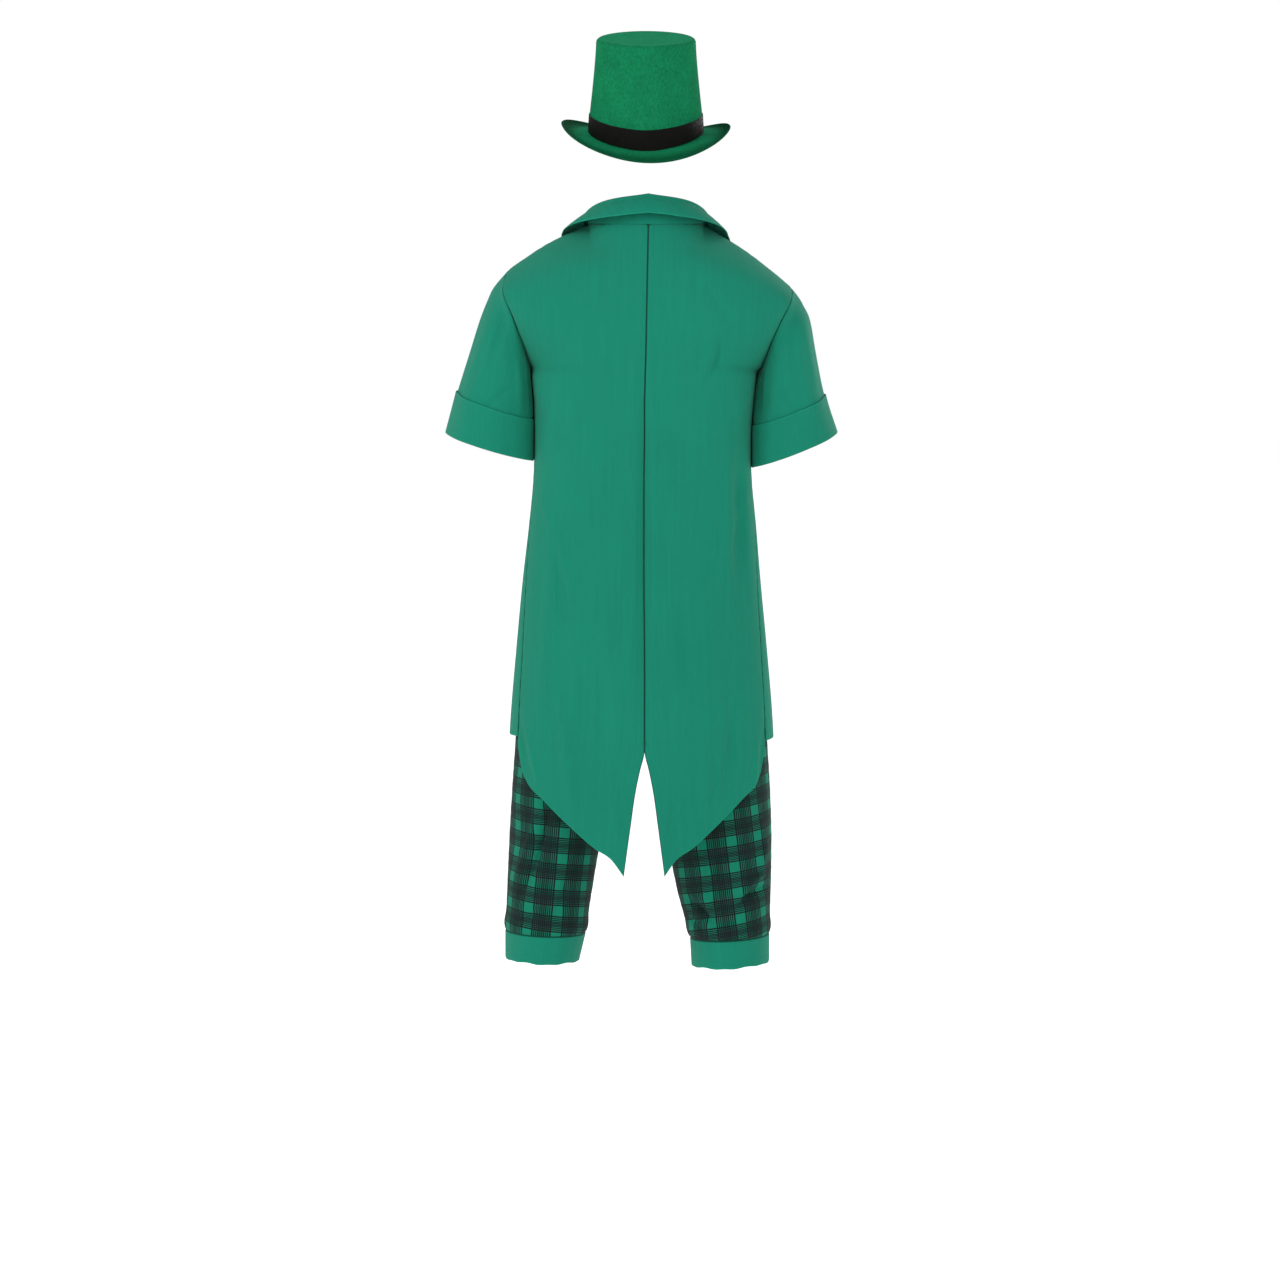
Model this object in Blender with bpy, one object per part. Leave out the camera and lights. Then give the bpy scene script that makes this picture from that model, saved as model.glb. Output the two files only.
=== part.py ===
"""A Saint Patrick's Day costume in the form it has when worn: top hat, tailcoat, knee breeches.

Metres, +Z up. The front of the costume faces -Y and +X is its left. The origin is the nape,
the middle of the coat's back neck seam. Each piece of cloth is a wall of even thickness on a
surface that is worked out from short tables of sections, one row for each section.
"""

import math

import bmesh
import bpy
import numpy as np

# Thickness of the materials, and the gap kept between pieces
CLOTH = 0.0016
FELT = 0.0024
RIBBON = 0.0010
SEAM = 0.0003
EDGE_IN = 0.00022  # how far each piece is drawn in at a seam, so that its corners clear too
LAY = 0.0009  # under a piece that lies on a panel with other columns than its own
ARMHOLE_GAP = 0.0024  # between coat and sleeve at the underarm, where the cloth folds back
SHOULDER_GAP = 0.0008  # and at the top of the armhole

# The coat's trunk. Rows go up from the tips of the tails.
# height, left side, right side, back, front, centre seam, fullness, angle of the side seam
TRUNK = (
    (-1.020, 0.216, 0.202, 0.038, -0.226, 0.002, 2.3, 64.0),
    (-0.900, 0.215, 0.201, 0.037, -0.226, 0.002, 2.3, 64.0),
    (-0.798, 0.212, 0.198, 0.035, -0.226, 0.002, 2.3, 65.0),
    (-0.649, 0.202, 0.188, 0.031, -0.224, 0.002, 2.3, 68.0),
    (-0.555, 0.193, 0.180, 0.025, -0.221, 0.003, 2.3, 72.0),
    (-0.460, 0.182, 0.172, 0.020, -0.219, 0.003, 2.3, 78.0),
    (-0.397, 0.176, 0.166, 0.020, -0.219, 0.003, 2.4, 82.0),
    (-0.330, 0.174, 0.165, 0.025, -0.222, 0.002, 2.5, 86.0),
    (-0.276, 0.175, 0.168, 0.031, -0.225, 0.002, 2.5, 89.0),
    (-0.235, 0.178, 0.172, 0.035, -0.226, 0.001, 2.6, 90.0),
    (-0.200, 0.181, 0.176, 0.038, -0.226, 0.001, 2.6, 90.0),
)
SIDE_DEPTH = -0.090  # where the widest part of the trunk lies, front to back
HIP = -0.795  # the straight hem of the fronts
UNDERARM = -0.235
LEVEL = 0.035  # the height of one level of the trunk
TOP_LEVEL = 5  # the neck and shoulder seams
FRONT_TOP_LEVEL = 4.985  # the fronts stop just short of the shoulder seam, for their corners

# The shoulders, one row a level above the underarm.
# centre height, centre depth, edge height left, edge left, edge height right, edge right,
# edge depth, fullness, centre seam
YOKE_BACK = (
    (-0.205, 0.037, -0.207, 0.183, -0.215, 0.182, -0.046, 2.6, 0.000),
    (-0.150, 0.038, -0.150, 0.203, -0.162, 0.203, -0.021, 2.6, -0.001),
    (-0.098, 0.032, -0.106, 0.221, -0.123, 0.223, -0.028, 2.2, -0.002),
    (-0.050, 0.019, -0.080, 0.219, -0.104, 0.228, -0.056, 1.7, -0.003),
)
YOKE_FRONT = (
    (-0.205, -0.224, -0.207, 0.183, -0.215, 0.182, -0.132, 2.5, 0.000),
    (-0.150, -0.216, -0.150, 0.198, -0.160, 0.199, -0.154, 2.4, -0.001),
    (-0.098, -0.200, -0.108, 0.215, -0.123, 0.219, -0.148, 2.1, -0.002),
    (-0.050, -0.172, -0.081, 0.217, -0.104, 0.226, -0.120, 1.8, -0.003),
)
NECK = (0.088, -0.075, 0.003)  # where the shoulder seam meets the neck
NECK_SHARE = 0.31  # how far along the top of the back that is
NAPE_SEAM = -0.004
SHOULDER_LEFT = (0.213, -0.088, -0.070)
SHOULDER_RIGHT = (-0.227, -0.088, -0.098)
SHOULDER_RISE = 0.006  # how much the shoulder seam curves up

# Soft folds in the trunk: angle from the centre back, its half width, top, bottom, depth
FOLDS_LEFT = (
    (24.0, 7.0, -0.60, -0.86, -0.0035),
    (46.0, 8.0, -0.42, -0.82, 0.0030),
    (118.0, 8.0, -0.40, -0.85, -0.0030),
    (150.0, 9.0, -0.30, -0.62, 0.0025),
)
FOLDS_RIGHT = (
    (54.0, 8.0, -0.30, -0.62, -0.0040),
    (30.0, 8.0, -0.52, -0.88, 0.0030),
    (112.0, 9.0, -0.36, -0.80, -0.0030),
    (148.0, 8.0, -0.44, -0.85, 0.0025),
)

# The tails: share of the back's width, and height of the hem there
TAIL_HEM = (
    (0.13, -1.007),
    (0.21, -0.981),
    (0.31, -0.965),
    (0.51, -0.926),
    (0.70, -0.890),
    (0.85, -0.858),
    (0.94, -0.828),
    (1.00, -0.801),
)
TIP = -1.007
# The slit between the tails: height, and share of the back's width
SLIT = (
    (-1.007, 0.130),
    (-0.927, 0.089),
    (-0.874, 0.055),
    (-0.820, 0.006),
    (-0.795, 0.000),
)
# The front edge: level, and share of the front's width. It passes the middle below the chest.
FRONT_EDGE = (
    (-16.0, -0.050),
    (-8.0, -0.050),
    (-3.2, -0.050),
    (-2.0, -0.012),
    (0.0, 0.078),
    (1.0, 0.110),
    (2.0, 0.150),
    (3.0, 0.190),
    (4.0, 0.245),
    (5.0, 0.310),
)
OVERLAP_LIFT = 0.0028  # the left front lies on the right one

# The collar. Stations go from the middle of the back, 0, over the shoulder seam, 1, to the
# notch at the front, 2. In and out are along the cloth under it, up and down square to that.
# station, roll in, roll up, fall out, fall down
COLLAR = (
    (0.0, 0.014, 0.046, 0.022, 0.030),
    (0.5, 0.007, 0.035, 0.030, 0.026),
    (1.0, 0.002, 0.016, 0.046, 0.009),
    (1.5, 0.001, 0.012, 0.050, 0.003),
    (2.0, 0.001, 0.009, 0.052, 0.001),
)
ROLL = 0.0042  # half the thickness of the collar where it turns over
COLLAR_LIES = 0.30  # the share of the front that the collar follows where it lies on it
COLLAR_START = 0.0018  # how far the stand begins from the seam line
COLLAR_END = 3.3  # the level of the front edge where the collar meets the lapel

# The lapel: level of the front edge, and width as a share of the front's width
LAPEL = (
    (-1.5, 0.010),
    (-0.5, 0.120),
    (1.0, 0.265),
    (2.2, 0.335),
    (3.26, 0.350),
)
NOTCH = 0.55  # how many levels the outer corner of the lapel lies below the collar
BUTTON_HEIGHTS = (-0.385, -0.485, -0.585)
BUTTON_RADIUS = 0.0105
BUTTON_THICK = 0.0032

# The sleeves, from near the armhole to the hem, in the front view.
# outer side, outer height, inner side, inner height, half depth, middle depth, back drop
SLEEVE_LEFT = (
    (0.243, -0.106, 0.1855, -0.243, 0.073, -0.089, 0.000),
    (0.258, -0.143, 0.1845, -0.252, 0.075, -0.090, 0.002),
    (0.276, -0.199, 0.1825, -0.272, 0.076, -0.093, 0.006),
    (0.2945, -0.257, 0.1820, -0.300, 0.077, -0.096, 0.010),
    (0.312, -0.319, 0.1830, -0.362, 0.078, -0.100, 0.011),
)
SLEEVE_RIGHT = (
    (0.245, -0.121, 0.1840, -0.246, 0.073, -0.089, 0.000),
    (0.2565, -0.146, 0.1825, -0.255, 0.075, -0.090, 0.002),
    (0.2665, -0.200, 0.1790, -0.278, 0.076, -0.093, 0.005),
    (0.2795, -0.262, 0.1745, -0.310, 0.077, -0.096, 0.009),
    (0.2985, -0.319, 0.1735, -0.373, 0.078, -0.100, 0.011),
)
SLEEVE_KEYS = (0.0, 0.6, 1.2, 1.8, 2.4, 3.0, 3.5, 4.0)  # its rings, as rows of the table
CUFF_ROWS = 3  # the last rings, which the turned-up cuff covers
# The soft ridge down the sleeve: how far out, turn from the underarm, half width, middle row,
# half length in rows
SLEEVE_RIDGE = (0.004, 2.26, 0.5, 2.0, 3.0)

# The breeches. Rows go up from the knee.
# height, side, axis, half depth, middle depth
LEG_LEFT = (
    (-1.098, 0.2210, 0.1580, 0.074, -0.082),
    (-1.031, 0.2180, 0.1510, 0.077, -0.084),
    (-0.955, 0.2145, 0.1420, 0.083, -0.087),
    (-0.880, 0.2100, 0.1290, 0.090, -0.090),
    (-0.815, 0.2055, 0.1105, 0.097, -0.092),
    (-0.780, 0.2030, 0.1015, 0.101, -0.093),
    (-0.720, 0.1980, 0.0500, 0.105, -0.094),
    (-0.650, 0.1900, 0.0120, 0.104, -0.095),
    (-0.590, 0.1740, 0.0000, 0.098, -0.096),
    (-0.545, 0.1580, 0.0000, 0.092, -0.098),
)
LEG_RIGHT = (
    (-1.102, 0.1945, 0.1325, 0.074, -0.082),
    (-1.034, 0.1970, 0.1235, 0.077, -0.084),
    (-0.955, 0.1980, 0.1160, 0.083, -0.087),
    (-0.880, 0.1955, 0.1090, 0.090, -0.090),
    (-0.815, 0.1915, 0.1010, 0.097, -0.092),
    (-0.780, 0.1890, 0.0945, 0.101, -0.093),
    (-0.720, 0.1850, 0.0460, 0.105, -0.094),
    (-0.650, 0.1790, 0.0110, 0.104, -0.095),
    (-0.590, 0.1680, 0.0000, 0.098, -0.096),
    (-0.545, 0.1580, 0.0000, 0.092, -0.098),
)
CROTCH_GAP = 0.0024  # between the two legs where they meet in the middle
INSEAM_GAP = 0.0008  # half the gap of the inseam, where the cloth turns sharply
KNEE_BAND = 0.044
WAIST_BAND = 0.036
BAND_PROUD = 0.0010  # a band of doubled cloth stands a little outside the leg

# The hat, in its own frame: origin in the middle of the crown's base, before it is tilted.
# height, half width, half length
CROWN = (
    (0.000, 0.0925, 0.1035),
    (0.030, 0.0900, 0.1010),
    (0.070, 0.0865, 0.0970),
    (0.110, 0.0835, 0.0940),
    (0.150, 0.0820, 0.0925),
    (0.158, 0.0812, 0.0917),
    (0.162, 0.0780, 0.0885),
)
CROWN_TOP = 0.163
TOP_SHARES = (0.85, 0.45, 0.12)  # rings on the flat top, as shares of its size
BAND_BASE = 0.0022  # the ribbon starts just above the brim
BAND_TOP = 0.0310
CROWN_HEIGHTS = (0.0, BAND_BASE, BAND_TOP, 0.060, 0.090, 0.120, 0.150, 0.158, 0.162)
# share of the brim's width, its run outwards, rise at the sides, rise at front and back
BRIM = (
    (0.00, 0.0000, 0.0000, 0.0000),
    (0.35, 0.0150, 0.0010, -0.0020),
    (0.65, 0.0270, 0.0050, -0.0025),
    (0.85, 0.0350, 0.0110, -0.0015),
    (1.00, 0.0385, 0.0175, 0.0010),
)
BRIM_GAP = 0.0017
SADDLE = 0.0075  # the base rises at the sides and dips at the front and back by this much
HAT_PLACE = (-0.002, -0.105, 0.133)
HAT_TILT = 14.0  # leaning back

# Grid sizes
NECK_COLUMNS = 5  # between the centre back and the shoulder seam
SHOULDER_COLUMNS = 8  # from there to the side seam, in the back and in the front
COLLAR_FRONT_COLUMNS = 4
LAPEL_COLUMNS = 5
LAPEL_ROWS = 11
TAIL_ROWS = 5
TRUNK_ROWS = 13
YOKE_STEPS = 2  # rows for each level of the shoulders
LEG_COLUMNS = 8
LEG_ROWS = 15
HAT_COLUMNS = 28

# Colours, roughness
FINISHES = {
    "coat cloth": ((0.012, 0.250, 0.150, 1.0), 0.85),
    "check cloth": ((0.010, 0.180, 0.100, 1.0), 0.85),
    "felt": ((0.008, 0.220, 0.110, 1.0), 0.95),
    "ribbon": ((0.010, 0.010, 0.012, 1.0), 0.55),
    "button": ((0.006, 0.060, 0.035, 1.0), 0.35),
}


def at(table, key):
    """The columns of a table at a key, each on a smooth curve through the rows."""
    rows = np.array(table, float)
    keys, columns = rows[:, 0], rows[:, 1:]
    slopes = np.gradient(columns, keys, axis=0)
    key = np.clip(np.asarray(key, float), keys[0], keys[-1])
    low = np.clip(np.searchsorted(keys, key, side="right") - 1, 0, len(keys) - 2)
    step = (keys[low + 1] - keys[low])[..., None]
    t = (key[..., None] - keys[low][..., None]) / step
    value = (
        (2 * t**3 - 3 * t**2 + 1) * columns[low]
        + (t**3 - 2 * t**2 + t) * step * slopes[low]
        + (3 * t**2 - 2 * t**3) * columns[low + 1]
        + (t**3 - t**2) * step * slopes[low + 1]
    )
    return np.moveaxis(value, -1, 0)


def squircle(angle, fullness):
    """The two sides of a rounded section at an angle: 0 is the middle, 90 degrees the side."""
    a = np.radians(angle)
    reach = (np.abs(np.cos(a)) ** fullness + np.abs(np.sin(a)) ** fullness) ** (-1 / fullness)
    return reach * np.sin(a), reach * np.cos(a)


def bump(value, centre, half_width):
    """A soft bump that is 1 at its centre and 0 past its half width."""
    t = np.clip(np.abs(value - centre) / half_width, 0, 1)
    return (1 - t**2) ** 2


def folds(side, angle, height):
    """How far the soft folds of the trunk stand out at an angle and a height."""
    out = np.zeros(np.broadcast(angle, height).shape)
    for centre, width, top, bottom, depth in FOLDS_LEFT if side > 0 else FOLDS_RIGHT:
        along = bump(height, (top + bottom) / 2, (top - bottom) / 2)
        out = out + depth * along * bump(angle, centre, width)
    return out


def trunk(side, angle, height):
    """A point of the trunk: angle 0 is the centre back, 180 the centre front."""
    left, right, back, front, seam, fullness, _ = at(TRUNK, height)
    across, along = squircle(angle, fullness)
    edge = left if side > 0 else -right
    depth = np.where(along >= 0, back - SIDE_DEPTH, SIDE_DEPTH - front)
    out = folds(side, angle, height)
    x = seam + (edge - seam) * across + side * out * np.sin(np.radians(angle))
    y = SIDE_DEPTH + depth * along + out * np.cos(np.radians(angle))
    return np.stack([x, y, height + 0 * x], -1)


def trunk_level(side, part, share, level):
    """A point of a trunk panel at a share of its width, 0 in the middle, and a level."""
    height = UNDERARM + LEVEL * level
    seam_angle = at(TRUNK, height)[6]
    angle = share * seam_angle
    if part == "front":
        angle = 180 - share * (180 - seam_angle)
    return trunk(side, angle, height)


def yoke_row(side, part, share, row):
    """A point of one row of the shoulder table."""
    table = YOKE_BACK if part == "back" else YOKE_FRONT
    mid_z, mid_y, left_z, left_x, right_z, right_x, edge_y, fullness, seam = table[row]
    edge_x = left_x if side > 0 else -right_x
    edge_z = left_z if side > 0 else right_z
    across, along = squircle(90 * share, fullness)
    x = seam + (edge_x - seam) * across
    y = edge_y + (mid_y - edge_y) * along
    z = mid_z + (edge_z - mid_z) * share**2
    return np.stack([x, y, z + 0 * x], -1)


def top_row(side, part, share):
    """The neck seam, then the shoulder seam."""
    shoulder = np.array(SHOULDER_LEFT if side > 0 else SHOULDER_RIGHT)
    neck = np.array([side * NECK[0], NECK[1], NECK[2]])
    turn = np.radians(90 * np.clip(share / NECK_SHARE, 0, 1))
    run = np.clip((share - NECK_SHARE) / (1 - NECK_SHARE), 0, 1)[..., None]
    line = neck + (shoulder - neck) * run
    line[..., 2] += SHOULDER_RISE * np.sin(np.pi * run[..., 0])
    if part == "front":
        return line
    x = NAPE_SEAM + (neck[0] - NAPE_SEAM) * np.sin(turn)
    curve = np.stack([x, NECK[1] * (1 - np.cos(turn)), NECK[2] * np.sin(turn) ** 2], -1)
    return np.where(share[..., None] < NECK_SHARE, curve, line)


def body(side, part, share, level):
    """A point of the coat's body, in the trunk up to level 0 and in the shoulders above it."""
    share, level = np.broadcast_arrays(np.asarray(share, float), np.asarray(level, float))
    rows = [trunk_level(side, part, share, np.full(share.shape, k)) for k in (-1.0, 0.0)]
    rows += [yoke_row(side, part, share, k) for k in range(TOP_LEVEL - 1)]
    rows.append(top_row(side, part, share))
    other = "front" if part == "back" else "back"
    beyond = yoke_row(side, other, share, TOP_LEVEL - 2)
    straight = 2 * rows[-1] - rows[-2]
    rows.append(np.where((share < NECK_SHARE)[..., None], straight, beyond))
    rows = np.stack(rows)
    low = np.clip(np.floor(level).astype(int), 0, TOP_LEVEL - 1)
    t = (level - low)[..., None]
    pick = [np.take_along_axis(rows, (low + k)[None, ..., None], 0)[0] for k in range(4)]
    curve = 0.5 * (
        2 * pick[1]
        + (pick[2] - pick[0]) * t
        + (2 * pick[0] - 5 * pick[1] + 4 * pick[2] - pick[3]) * t**2
        + (3 * pick[1] - pick[0] - 3 * pick[2] + pick[3]) * t**3
    )
    low_part = trunk_level(side, part, share, np.minimum(level, 0))
    point = np.where((level > 0)[..., None], curve, low_part)
    if part == "front" and side > 0:
        point[..., 1] -= OVERLAP_LIFT * bump(share, -0.05, 0.45)
    return point


def back_shares():
    """Where the columns of the back lie, one of them on the corner of neck and shoulder."""
    neck = np.linspace(0, NECK_SHARE, NECK_COLUMNS, endpoint=False)
    return np.concatenate([neck, np.linspace(NECK_SHARE, 1, SHOULDER_COLUMNS + 1)])


def back_grid(side):
    """The points of one half of the coat's back, rows going up from the tail's hem."""
    share = back_shares()
    rows = []
    for step in range(TAIL_ROWS):
        up = step / TAIL_ROWS
        inner = at(SLIT, TIP + (HIP - TIP) * up)[0]
        hem = at(TAIL_HEM, TAIL_HEM[0][0] + (1 - TAIL_HEM[0][0]) * share)[0]
        height = hem + (HIP - hem) * up
        rows.append(body(side, "back", inner + (1 - inner) * share, (height - UNDERARM) / LEVEL))
    for level in panel_levels():
        rows.append(body(side, "back", share, level))
    return np.stack(rows)


def panel_levels():
    """The levels of a panel's rows from the hip to the shoulder."""
    hip = (HIP - UNDERARM) / LEVEL
    low = np.linspace(hip, 0, TRUNK_ROWS, endpoint=False)
    return np.concatenate([low, np.linspace(0, TOP_LEVEL, TOP_LEVEL * YOKE_STEPS + 1)])


def front_grid(side):
    """The points of one front, rows going up from its straight hem."""
    share = np.linspace(0, 1, SHOULDER_COLUMNS + 1)
    rows = []
    for level in np.minimum(panel_levels(), FRONT_TOP_LEVEL):
        inner = at(FRONT_EDGE, level)[0]
        rows.append(body(side, "front", inner + (1 - inner) * share, level))
    return np.stack(rows)


def lapel_grid(side):
    """The points of the front that lie under a lapel."""
    first, last = LAPEL[0][0], LAPEL[-1][0]
    share = np.linspace(0, 1, LAPEL_COLUMNS)
    rows = []
    for level in np.linspace(first, last, LAPEL_ROWS):
        inner, width = at(FRONT_EDGE, level)[0], at(LAPEL, level)[0]
        drop = NOTCH * share * np.clip((level - first) / (last - first), 0, 1) ** 3
        rows.append(body(side, "front", inner + width * share, level - drop))
    return np.stack(rows)


def collar_seam(side, station):
    """The neck seam at a station."""
    if station <= 1:
        return body(side, "back", station * NECK_SHARE, float(TOP_LEVEL))
    level = TOP_LEVEL + (COLLAR_END - TOP_LEVEL) * (station - 1)
    return body(side, "front", at(FRONT_EDGE, level)[0], level)


def unit(vector):
    """A vector of length 1."""
    return vector / np.linalg.norm(vector)


def collar_ways(side, station):
    """The ways out and up at a station: level behind the neck, along the cloth in front."""
    turn = np.radians(min(90 * station, 90))
    level_out = np.array([side * math.sin(turn), math.cos(turn), 0.0])
    level = TOP_LEVEL + (COLLAR_END - TOP_LEVEL) * max(station - 1, 0)
    share = at(FRONT_EDGE, level)[0]
    here = body(side, "front", share, level)
    across = body(side, "front", share + COLLAR_LIES, level) - here
    below = here - body(side, "front", share, level - 0.3)
    cloth_up = unit(np.cross(across, below) * side)
    lies = np.clip((station - 0.1) / 0.9, 0, 1) ** 1.5
    out = unit(level_out * (1 - lies) + unit(across) * lies)
    up = unit(np.array([0, 0, 1.0]) * (1 - lies) + cloth_up * lies)
    start = unit(up * (1 - lies) - out * lies)
    return out, up, start


def collar_grid():
    """The collar from its neck seam up to the roll and down to its free edge."""
    back = np.linspace(0, 1, NECK_COLUMNS, endpoint=False)
    half = np.concatenate([back, np.linspace(1, 2, COLLAR_FRONT_COLUMNS + 1)])
    across = []
    for side, station in [(-1, s) for s in half[:0:-1]] + [(1, s) for s in half]:
        across.append(collar_section(side, station))
    return np.stack(across, 1)


def collar_section(side, station):
    """One section across the collar: up the stand, round the roll and down the fall."""
    seam = collar_seam(side, station)
    out, up, away = collar_ways(side, station)
    roll_in, roll_up, fall_out, fall_down = at(COLLAR, station)
    roll = seam - out * roll_in + up * roll_up
    edge = roll + out * fall_out - up * fall_down
    start = seam + away * COLLAR_START
    inside = roll - up * ROLL
    outside = roll + out * 2 * ROLL - up * ROLL
    points = [start, start + (inside - start) * 0.5, inside, roll + out * ROLL, outside]
    points += [outside + (edge - outside) * k for k in (0.33, 0.66, 1.0)]
    return np.stack(points)


def sleeve_grid(side):
    """The points of a sleeve, rings going down from the armhole to the hem."""
    levels = np.linspace(0, TOP_LEVEL, TOP_LEVEL * YOKE_STEPS + 1)
    back = body(side, "back", 1.0, levels)
    front = body(side, "front", 1.0, levels)
    ring = np.concatenate([back, front[-2:0:-1]])
    count = len(ring)
    turn = np.arange(count) / count * 2 * np.pi
    gap = SHOULDER_GAP + (ARMHOLE_GAP - SHOULDER_GAP) * (0.5 + 0.5 * np.cos(turn))
    first = ring + np.stack([side * gap, 0 * gap, 0 * gap], -1)
    rows = [first]
    table = SLEEVE_LEFT if side > 0 else SLEEVE_RIGHT
    keyed = [(k, *row) for k, row in enumerate(table)]
    for key in SLEEVE_KEYS:
        rows.append(sleeve_ring(side, at(keyed, key), turn, key))
    return np.stack(rows)


def sleeve_ring(side, row, turn, key):
    """One ring of a sleeve: turn 0 is the underarm, and the back comes first."""
    outer_x, outer_z, inner_x, inner_z, half_depth, middle, drop = row
    mix = 0.5 - 0.5 * np.cos(turn)
    out, where, half_turn, row_middle, half_rows = SLEEVE_RIDGE
    ridge = out * bump(turn, where, half_turn) * bump(key, row_middle, half_rows)
    x = inner_x + (outer_x - inner_x) * mix + ridge
    y = middle + (half_depth + ridge) * np.sin(turn)
    z = inner_z + (outer_z - inner_z) * mix - drop * np.sin(turn)
    return np.stack([side * x, y, z], -1)


def leg_angles(axis, side_x, share):
    """Angles from the middle or the inseam to the side seam."""
    half = side_x - axis
    start = -np.degrees(np.arcsin(np.clip(axis / half, 0, 1)))
    return start + (90 - start) * share


def leg_grid(side, part):
    """The points of one leg panel of the breeches, rows going up from the knee."""
    table = LEG_LEFT if side > 0 else LEG_RIGHT
    share = np.linspace(0, 1, LEG_COLUMNS)
    rows = []
    for height in np.linspace(table[0][0], table[-1][0], LEG_ROWS):
        side_x, axis, half_depth, middle = at(table, height)
        angle = np.radians(leg_angles(axis, side_x, share))
        facing = 1 if part == "back" else -1
        x = axis + (side_x - axis) * np.sin(angle) + CROTCH_GAP / 2
        y = middle + facing * (half_depth * np.cos(angle) + INSEAM_GAP * (1 - share))
        rows.append(np.stack([side * x, y, height + 0 * x], -1))
    return np.stack(rows)


def ring_of(back, front):
    """A closed ring from a back row and a front row that share both ends."""
    return np.concatenate([back, front[-2:0:-1]])


def knee_band_grid(side):
    """The knee band carries on from the lowest row of the leg."""
    ring = ring_of(leg_grid(side, "back")[0], leg_grid(side, "front")[0])
    rows = []
    for drop in (KNEE_BAND, KNEE_BAND / 2, SEAM):
        rows.append(ring - np.array([0, 0, drop]))
    return np.stack(rows)


def waist_band_grid():
    """The waistband closes round both sides above the top rows of the panels."""
    half = np.concatenate([leg_grid(1, "back")[-1], leg_grid(1, "front")[-1][-2::-1]])
    other = np.concatenate([leg_grid(-1, "front")[-1], leg_grid(-1, "back")[-1][-2::-1]])
    ring = np.concatenate([half, other])
    return np.stack([ring + np.array([0, 0, SEAM]), ring + np.array([0, 0, WAIST_BAND])])


def hat_place(points):
    """Points of the hat, tilted back and put on top of the figure."""
    tilt = math.radians(HAT_TILT)
    turn = np.array([
        [1, 0, 0],
        [0, math.cos(tilt), math.sin(tilt)],
        [0, -math.sin(tilt), math.cos(tilt)],
    ])
    return points @ turn.T + np.array(HAT_PLACE)


def hat_ring(half_width, half_length, height, saddle):
    """An oval ring of the hat that rises at the sides by the saddle's amount."""
    turn = np.linspace(0, 2 * np.pi, HAT_COLUMNS, endpoint=False)
    rise = -saddle * np.cos(2 * turn)
    return np.stack([half_width * np.sin(turn), half_length * np.cos(turn), height + rise], -1)


def crown_grid():
    """The crown from its base to the top edge and in over the flat top."""
    rows = []
    for height in CROWN_HEIGHTS:
        half_width, half_length = at(CROWN, height)
        saddle = SADDLE * (1 - height / CROWN_TOP) ** 1.5
        rows.append(hat_ring(half_width, half_length, height, saddle))
    for share in TOP_SHARES:
        half_width, half_length = CROWN[-1][1] * share, CROWN[-1][2] * share
        rows.append(hat_ring(half_width, half_length, CROWN_TOP, 0))
    return hat_place(np.stack(rows))


def brim_grid():
    """The brim from beside the crown to its curled edge."""
    turn = np.linspace(0, 2 * np.pi, HAT_COLUMNS, endpoint=False)
    rows = []
    for share in np.linspace(0, 1, 7):
        run, side_rise, end_rise = at(BRIM, share)
        half_width, half_length = CROWN[0][1] + BRIM_GAP + run, CROWN[0][2] + BRIM_GAP + run
        ring = hat_ring(half_width, half_length, 0, SADDLE)
        ring[:, 2] += side_rise * np.sin(turn) ** 2 + end_rise * np.cos(turn) ** 2
        rows.append(ring)
    return hat_place(np.stack(rows))


def normals(grid, tube, sign):
    """The outward normal at each point of a grid."""
    if tube:
        along = np.roll(grid, -1, 1) - np.roll(grid, 1, 1)
    else:
        along = np.gradient(grid, axis=1, edge_order=2)
    up = np.gradient(grid, axis=0, edge_order=2 if len(grid) > 2 else 1)
    n = sign * np.cross(up, along)
    return n / np.linalg.norm(n, axis=2, keepdims=True)


def drawn_in(grid, tube):
    """A grid whose edges are drawn in from the seam lines."""
    grid = grid.copy()
    edges = [(0, 1, 0), (-1, -2, 0)] + ([] if tube else [(0, 1, 1), (-1, -2, 1)])
    for edge, inside, axis in edges:
        lines = np.moveaxis(grid, axis, 0)
        way = lines[inside] - lines[edge]
        lines[edge] += way / np.linalg.norm(way, axis=-1, keepdims=True) * EDGE_IN
    return grid


def wall(name, finish, grid, sign, inner, outer, tube=False, capped=False):
    """A closed wall between two offsets of a grid; a capped tube is closed at its last ring."""
    n = normals(grid, tube, sign)
    grid = grid if capped else drawn_in(grid, tube)
    rows, columns = grid.shape[:2]
    mesh = bmesh.new()
    skins = [[[mesh.verts.new(p) for p in row] for row in grid + n * d] for d in (inner, outer)]
    last = columns if tube else columns - 1
    for i in range(rows - 1):
        for j in range(last):
            k = (j + 1) % columns
            for skin in skins:
                mesh.faces.new((skin[i][j], skin[i][k], skin[i + 1][k], skin[i + 1][j]))
    low, high = skins
    for j in range(last):
        k = (j + 1) % columns
        mesh.faces.new((low[0][j], low[0][k], high[0][k], high[0][j]))
        if not capped:
            mesh.faces.new((low[-1][j], low[-1][k], high[-1][k], high[-1][j]))
    if capped:
        mesh.faces.new(low[-1])
        mesh.faces.new(high[-1])
    if not tube:
        for i in range(rows - 1):
            for j in (0, -1):
                mesh.faces.new((low[i][j], low[i + 1][j], high[i + 1][j], high[i][j]))
    bmesh.ops.recalc_face_normals(mesh, faces=mesh.faces)
    return finished(name, finish, mesh)


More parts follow.
